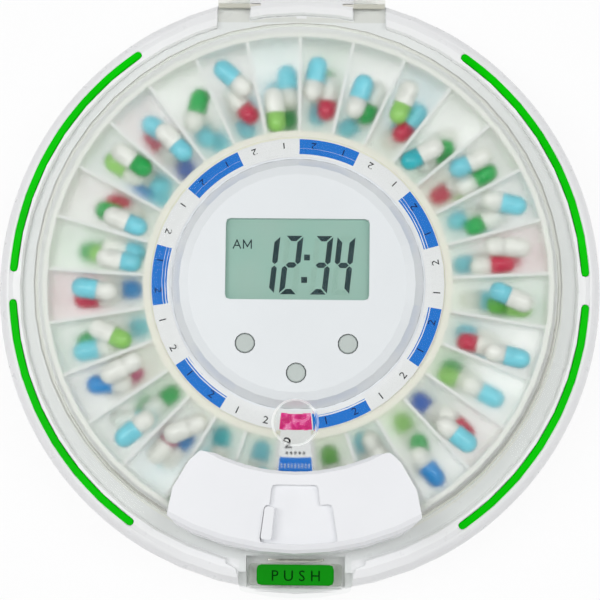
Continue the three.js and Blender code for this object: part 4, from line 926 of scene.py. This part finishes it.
def screws(steel):
    """Heads of the case screws, facing down."""
    bm = bmesh.new()
    outline = [(SCREW_LOW + rise, radius) for rise, radius in SCREW_SECTION]
    for angle in SCREW_ANGLES:
        x, y = polar(SCREW_CIRCLE, angle)
        upright = Matrix.Translation((x, y, 0)) @ Matrix.Rotation(-math.pi / 2, 4, "Y")
        half_shell(bm, outline, upright, 0, 20)
    made("case_screws", bm, [steel], "base")


def door_arrow(white):
    """An arrow and three grips on the battery door's outer face, beside its finger notch."""
    bm = bmesh.new()
    slab(bm, ARROW, ARROW_LOW, ARROW_HIGH)
    for row in range(GRIP_COUNT):
        y = GRIP_FIRST - row * GRIP_STEP
        slab(bm, rounded(-GRIP_REACH, GRIP_REACH, y - GRIP_HALF, y + GRIP_HALF, GRIP_CORNER, 3),
             ARROW_LOW, ARROW_HIGH)
    made("battery_door_arrow", bm, [white], "battery_door")


# Light bars
def loft(bm, loops):
    """A closed solid through outlines that have the same number of points."""
    rings = [[bm.verts.new(point) for point in loop] for loop in loops]
    bm.faces.new(rings[0][::-1])
    bm.faces.new(rings[-1])
    for first, second in zip(rings, rings[1:]):
        for index in range(len(first)):
            after = (index + 1) % len(first)
            bm.faces.new((first[index], first[after], second[after], second[index]))


def bar_outline(half, start, end, height):
    """Plan of a curved bar with round ends, about the same centre line at any half width."""
    turn = math.degrees(BAR_HALF / CROWN_RADIUS)
    low, high = start + turn, end - turn
    middle = [low + (high - low) * index / BAR_PARTS for index in range(BAR_PARTS + 1)]
    bend = [180 * index / BAR_END_PARTS for index in range(1, BAR_END_PARTS)]
    points = [polar(CROWN_RADIUS + half, angle) for angle in middle]
    points += [polar(CROWN_RADIUS, high) + polar(half, high + angle) for angle in bend]
    points += [polar(CROWN_RADIUS - half, angle) for angle in reversed(middle)]
    points += [polar(CROWN_RADIUS, low) + polar(half, low + 180 + angle) for angle in bend]
    return [(point.x, point.y, height) for point in points]


def light_bars(green):
    """The light bars with the smooth curve and the softened edge of the moulding."""
    soft = BAR_EDGE * 0.3
    levels = ((0, BAR_LOW), (0, BAR_TOP - BAR_EDGE), (soft, BAR_TOP - soft), (BAR_EDGE, BAR_TOP))
    for index, start in enumerate(BAR_STARTS):
        bm = bmesh.new()
        loft(bm, [bar_outline(BAR_HALF - inset, start, start + BAR_SPAN, z) for inset, z in levels])
        piece = made(f"light_strip_{index + 1}", bm, [green], "base")
        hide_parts(f"light_bar_{index + 1}")


# Skin of the rim
def rim_section(angle, share):
    """Outer section of the rim: the solid's own facets at share 0, the true curve at share 1."""
    flat = math.cos(math.radians(CASE_TURN / 2))
    facet = flat / math.cos(math.radians(angle % CASE_TURN - CASE_TURN / 2))
    turned = 1 - (1 - facet) * (1 - share)
    height = RIM_TOP - WIDEST
    reach = math.degrees(math.acos((SKIN_INNER - CROWN_RADIUS) / RIM_WIDTH))
    halfway = ((SEAM_RADIUS + CROWN_RADIUS + RIM_WIDTH) / 2, (SEAM_TOP + WIDEST) / 2)
    points = [(SEAM_RADIUS, SEAM_TOP), halfway]
    step = 90 / RIM_STEPS
    for index in range(SKIN_PARTS + 1):
        turn = reach * index / SKIN_PARTS
        middle = (math.floor(turn / step) + 0.5) * step
        chord = math.cos(math.radians(step / 2)) / math.cos(math.radians(turn - middle))
        curve = 1 - (1 - chord) * (1 - (share if index < SKIN_PARTS else 0))
        points.append((CROWN_RADIUS + RIM_WIDTH * curve * math.cos(math.radians(turn)),
                       WIDEST + height * curve * math.sin(math.radians(turn))))
    return [(polar((radius + SKIN) * turned, angle), z) for radius, z in points]


def rim_skin(white):
    """The outer face of the rim as one smooth curve, run out into the solid at its ends."""
    bm = bmesh.new()
    for start, end in SKIN_SPANS:
        count = round((end - start) / SKIN_TURN)
        before = None
        for index in range(count + 1):
            angle = start + (end - start) * index / count
            share = min(1.0, min(angle - start, end - angle) / CASE_TURN)
            row = [bm.verts.new((place.x, place.y, z)) for place, z in rim_section(angle, share)]
            if before:
                for near, far in zip(zip(before, before[1:]), zip(row, row[1:])):
                    bm.faces.new((near[0], far[0], far[1], near[1]))
            before = row
    made("rim_surface", bm, [white], "base", True)


# All pieces and looks
def build_pieces():
    """Pieces that the frame has no solid for, and smooth ones over or in place of faceted solids."""
    blue = ink("print_blue", (0.12, 0.47, 0.84), screen=0.03).material
    white = ink("print_white", (0.95, 0.95, 0.955), screen=0.012).material
    dark = ink("print_navy", (0.06, 0.16, 0.38)).material
    grey = ink("print_grey", (0.18, 0.18, 0.20)).material
    ring_fields(blue, start_field_look().material)
    hoop("dosage_edging", EDGING, white, "carousel")
    hoop("face_collar", COLLAR, nodes["control_face"].data.materials[0], "base")
    ring_digits(dark, grey)
    tab_ticks(white)
    all_capsules()
    lit = ink("lcd_dark", (0.13, 0.22, 0.24)).material
    unlit = ink("lcd_faint", (0.63, 0.765, 0.723)).material
    display_figures(lit, unlit)
    light_bars(nodes["light_bar_1"].data.materials[0])
    rim_skin(nodes["upper_case"].data.materials[0])
    label_word(moulded("label_ink", (0.0, 0.20, 0.02), 0.5, 0.01, gloss=0.02).material)
    screws(metal("screw_steel", (0.70, 0.71, 0.73), 0.32).material)
    door_arrow(moulded("arrow_white", (0.88, 0.90, 0.93), 0.4).material)


def dress(look, *names):
    """Puts a look on nodes of the frame."""
    for name in names:
        nodes[name].data.materials.clear()
        nodes[name].data.materials.append(look.material)


def dress_frame():
    """A look for every node of the frame."""
    even = {"grain": 0.008, "spread": 0.02, "drift": 0.012}
    dress(moulded("case_top", (0.95, 0.953, 0.958), 0.28, **even), "upper_case")
    dress(moulded("case_bottom", (0.91, 0.915, 0.925), 0.42, 0.10), "lower_case", "battery_door")
    dress(moulded("face_white", (0.955, 0.962, 0.98), 0.26, **even), "control_face")
    dress(moulded("panel_white", (0.94, 0.945, 0.957), 0.26, **even), "front_panel", "dispensing_door")
    dress(lid_look(), "lid")
    dress(lens_look(), "lens")
    dress(clear("window_clear", (0.985, 0.99, 0.985), 0.01, (0.98, 0.985, 0.98), 1.12), "display_glass")
    dress(clear("latch_clear", (0.93, 0.94, 0.92), 0.12, (0.9, 0.91, 0.89), 1.15), "latch_button")
    dress(tray_look(), "pill_tray")
    bars = [f"light_bar_{i}" for i in range(1, 5)]
    dress(moulded("light_green", (0.0, 0.81, 0.0), 0.25, 0.02, drift=0.08, gloss=0.03), *bars)
    label = moulded("label_green", (0.0, 0.56, 0.01), 0.15, 0.01, drift=0.06, coat=0.1, gloss=0.05)
    dress(label, "latch_label")
    buttons = [f"set_button_{i}" for i in range(1, 4)]
    dress(moulded("button_grey", (0.785, 0.815, 0.805), 0.42, 0.08), *buttons)
    drive = ("drive_plate", "motor_gear", "drive_pinion", "ring_gear")
    dress(moulded("gear_acetal", (0.94, 0.93, 0.88), 0.4), *drive)
    dress(display_look(), "display_panel")
    dress(ink("card_white", (0.95, 0.95, 0.955), screen=0.012), "dosage_ring")
    dress(board_look(), "circuit_board")
    dress(rubber_look(), *[f"foot_{i}" for i in range(1, 5)])
    dress(moulded("rod_white", (0.90, 0.89, 0.86), 0.4, 0.02), "hinge_rod")
    dress(metal("contact_nickel", (0.76, 0.76, 0.74), 0.28), "contact_strip_rear", "contact_strip_front")
    dress(metal("motor_steel", (0.66, 0.67, 0.69), 0.3, (1, 1, 0.05)), "gear_motor")
    dress(moulded("speaker_cone", (0.16, 0.16, 0.17), 0.7, 0.3), "speaker")
    dress(metal("spring_wire", (0.82, 0.81, 0.79), 0.35), "latch_spring", "latch_wire")
    for index in range(1, 5):
        dress(cell_look(f"cell_wrap_{index}", index % 2 == 0), f"battery_{index}")


# Camera, lamps and floor
def add_camera():
    """The camera stands almost straight above, leaning to the right and to the front."""
    aim = Vector(CAMERA_AIM) * MM
    distance = CAMERA_DISTANCE * MM
    towards = Vector((math.sin(math.radians(RIGHT_TILT)), -math.sin(math.radians(FRONT_TILT)), 1.0))
    towards.z = math.sqrt(1 - towards.x ** 2 - towards.y ** 2)
    roll = math.radians(ROLL)
    right = Vector((math.cos(roll), math.sin(roll), 0))
    right = (right - towards * right.dot(towards)).normalized()
    up = towards.cross(right)
    data = bpy.data.cameras.new("camera")
    data.lens = LENS_LENGTH
    data.sensor_width = SENSOR_WIDTH
    data.clip_start = CLIP_START
    camera = bpy.data.objects.new("camera", data)
    bpy.context.collection.objects.link(camera)
    turned = Matrix((right, up, towards)).transposed().to_4x4()
    camera.matrix_world = Matrix.Translation(aim + towards * distance) @ turned
    bpy.context.scene.camera = camera


def add_area(name, place, aim, width, depth, power):
    """A rectangular lamp that faces its aim."""
    data = bpy.data.lights.new(name, "AREA")
    data.shape = "RECTANGLE"
    data.size = width
    data.size_y = depth
    data.energy = power
    lamp = bpy.data.objects.new(name, data)
    bpy.context.collection.objects.link(lamp)
    lamp.location = place
    lamp.rotation_euler = (Vector(aim) - Vector(place)).to_track_quat("-Z", "Y").to_euler()


def add_lamps():
    for lamp in LAMPS:
        add_area(*lamp)


def shows_background(tree):
    """1 for the rays that show the background: from the camera, off a gloss or through clear plastic."""
    path = tree.nodes.new("ShaderNodeLightPath")
    total = path.outputs["Is Camera Ray"]
    for name in ("Is Glossy Ray", "Is Transmission Ray"):
        add = tree.nodes.new("ShaderNodeMath")
        add.use_clamp = True
        tree.links.new(total, add.inputs[0])
        tree.links.new(path.outputs[name], add.inputs[1])
        total = add.outputs["Value"]
    return total


def add_world():
    """Soft light all round, seen as plain white."""
    world = bpy.data.worlds.new("studio")
    bpy.context.scene.world = world
    world.use_nodes = True
    tree = world.node_tree
    tree.nodes.clear()
    lit = tree.nodes.new("ShaderNodeBackground")
    lit.inputs["Color"].default_value = (1, 1, 1, 1)
    lit.inputs["Strength"].default_value = WORLD_LIGHT
    seen = tree.nodes.new("ShaderNodeBackground")
    seen.inputs["Color"].default_value = (1, 1, 1, 1)
    seen.inputs["Strength"].default_value = 1.0
    mix = tree.nodes.new("ShaderNodeMixShader")
    out = tree.nodes.new("ShaderNodeOutputWorld")
    tree.links.new(shows_background(tree), mix.inputs[0])
    tree.links.new(lit.outputs["Background"], mix.inputs[1])
    tree.links.new(seen.outputs["Background"], mix.inputs[2])
    tree.links.new(mix.outputs["Shader"], out.inputs["Surface"])


def add_floor():
    """A pale floor that is seen almost white and keeps some of the object's shadow."""
    bm = bmesh.new()
    bmesh.ops.create_grid(bm, x_segments=4, y_segments=4, size=FLOOR_REACH)
    mesh = bpy.data.meshes.new("floor")
    bm.to_mesh(mesh)
    bm.free()
    floor = bpy.data.objects.new("floor", mesh)
    floor.location.z = FLOOR_LEVEL * MM
    bpy.context.collection.objects.link(floor)
    look = Look("floor_white", (0.97, 0.97, 0.975), 0.6)
    look.shader.inputs["Specular IOR Level"].default_value = 0.2
    glow = look.node("Emission")
    glow.inputs["Color"].default_value = (1, 1, 1, 1)
    glow.inputs["Strength"].default_value = 1.0
    share = look.node("Math", operation="MULTIPLY")
    share.inputs[1].default_value = FLOOR_WHITE
    look.join(shows_background(look.tree), share.inputs[0])
    mix = look.node("MixShader")
    look.join(share.outputs["Value"], mix.inputs[0])
    look.join(look.shader.outputs["BSDF"], mix.inputs[1])
    look.join(glow.outputs["Emission"], mix.inputs[2])
    look.join(mix.outputs["Shader"], look.output.inputs["Surface"])
    mesh.materials.append(look.material)


dress_frame()
build_pieces()
add_camera()
add_lamps()
add_world()
add_floor()
bpy.context.scene.view_settings.view_transform = "Standard"
bpy.context.view_layer.update()
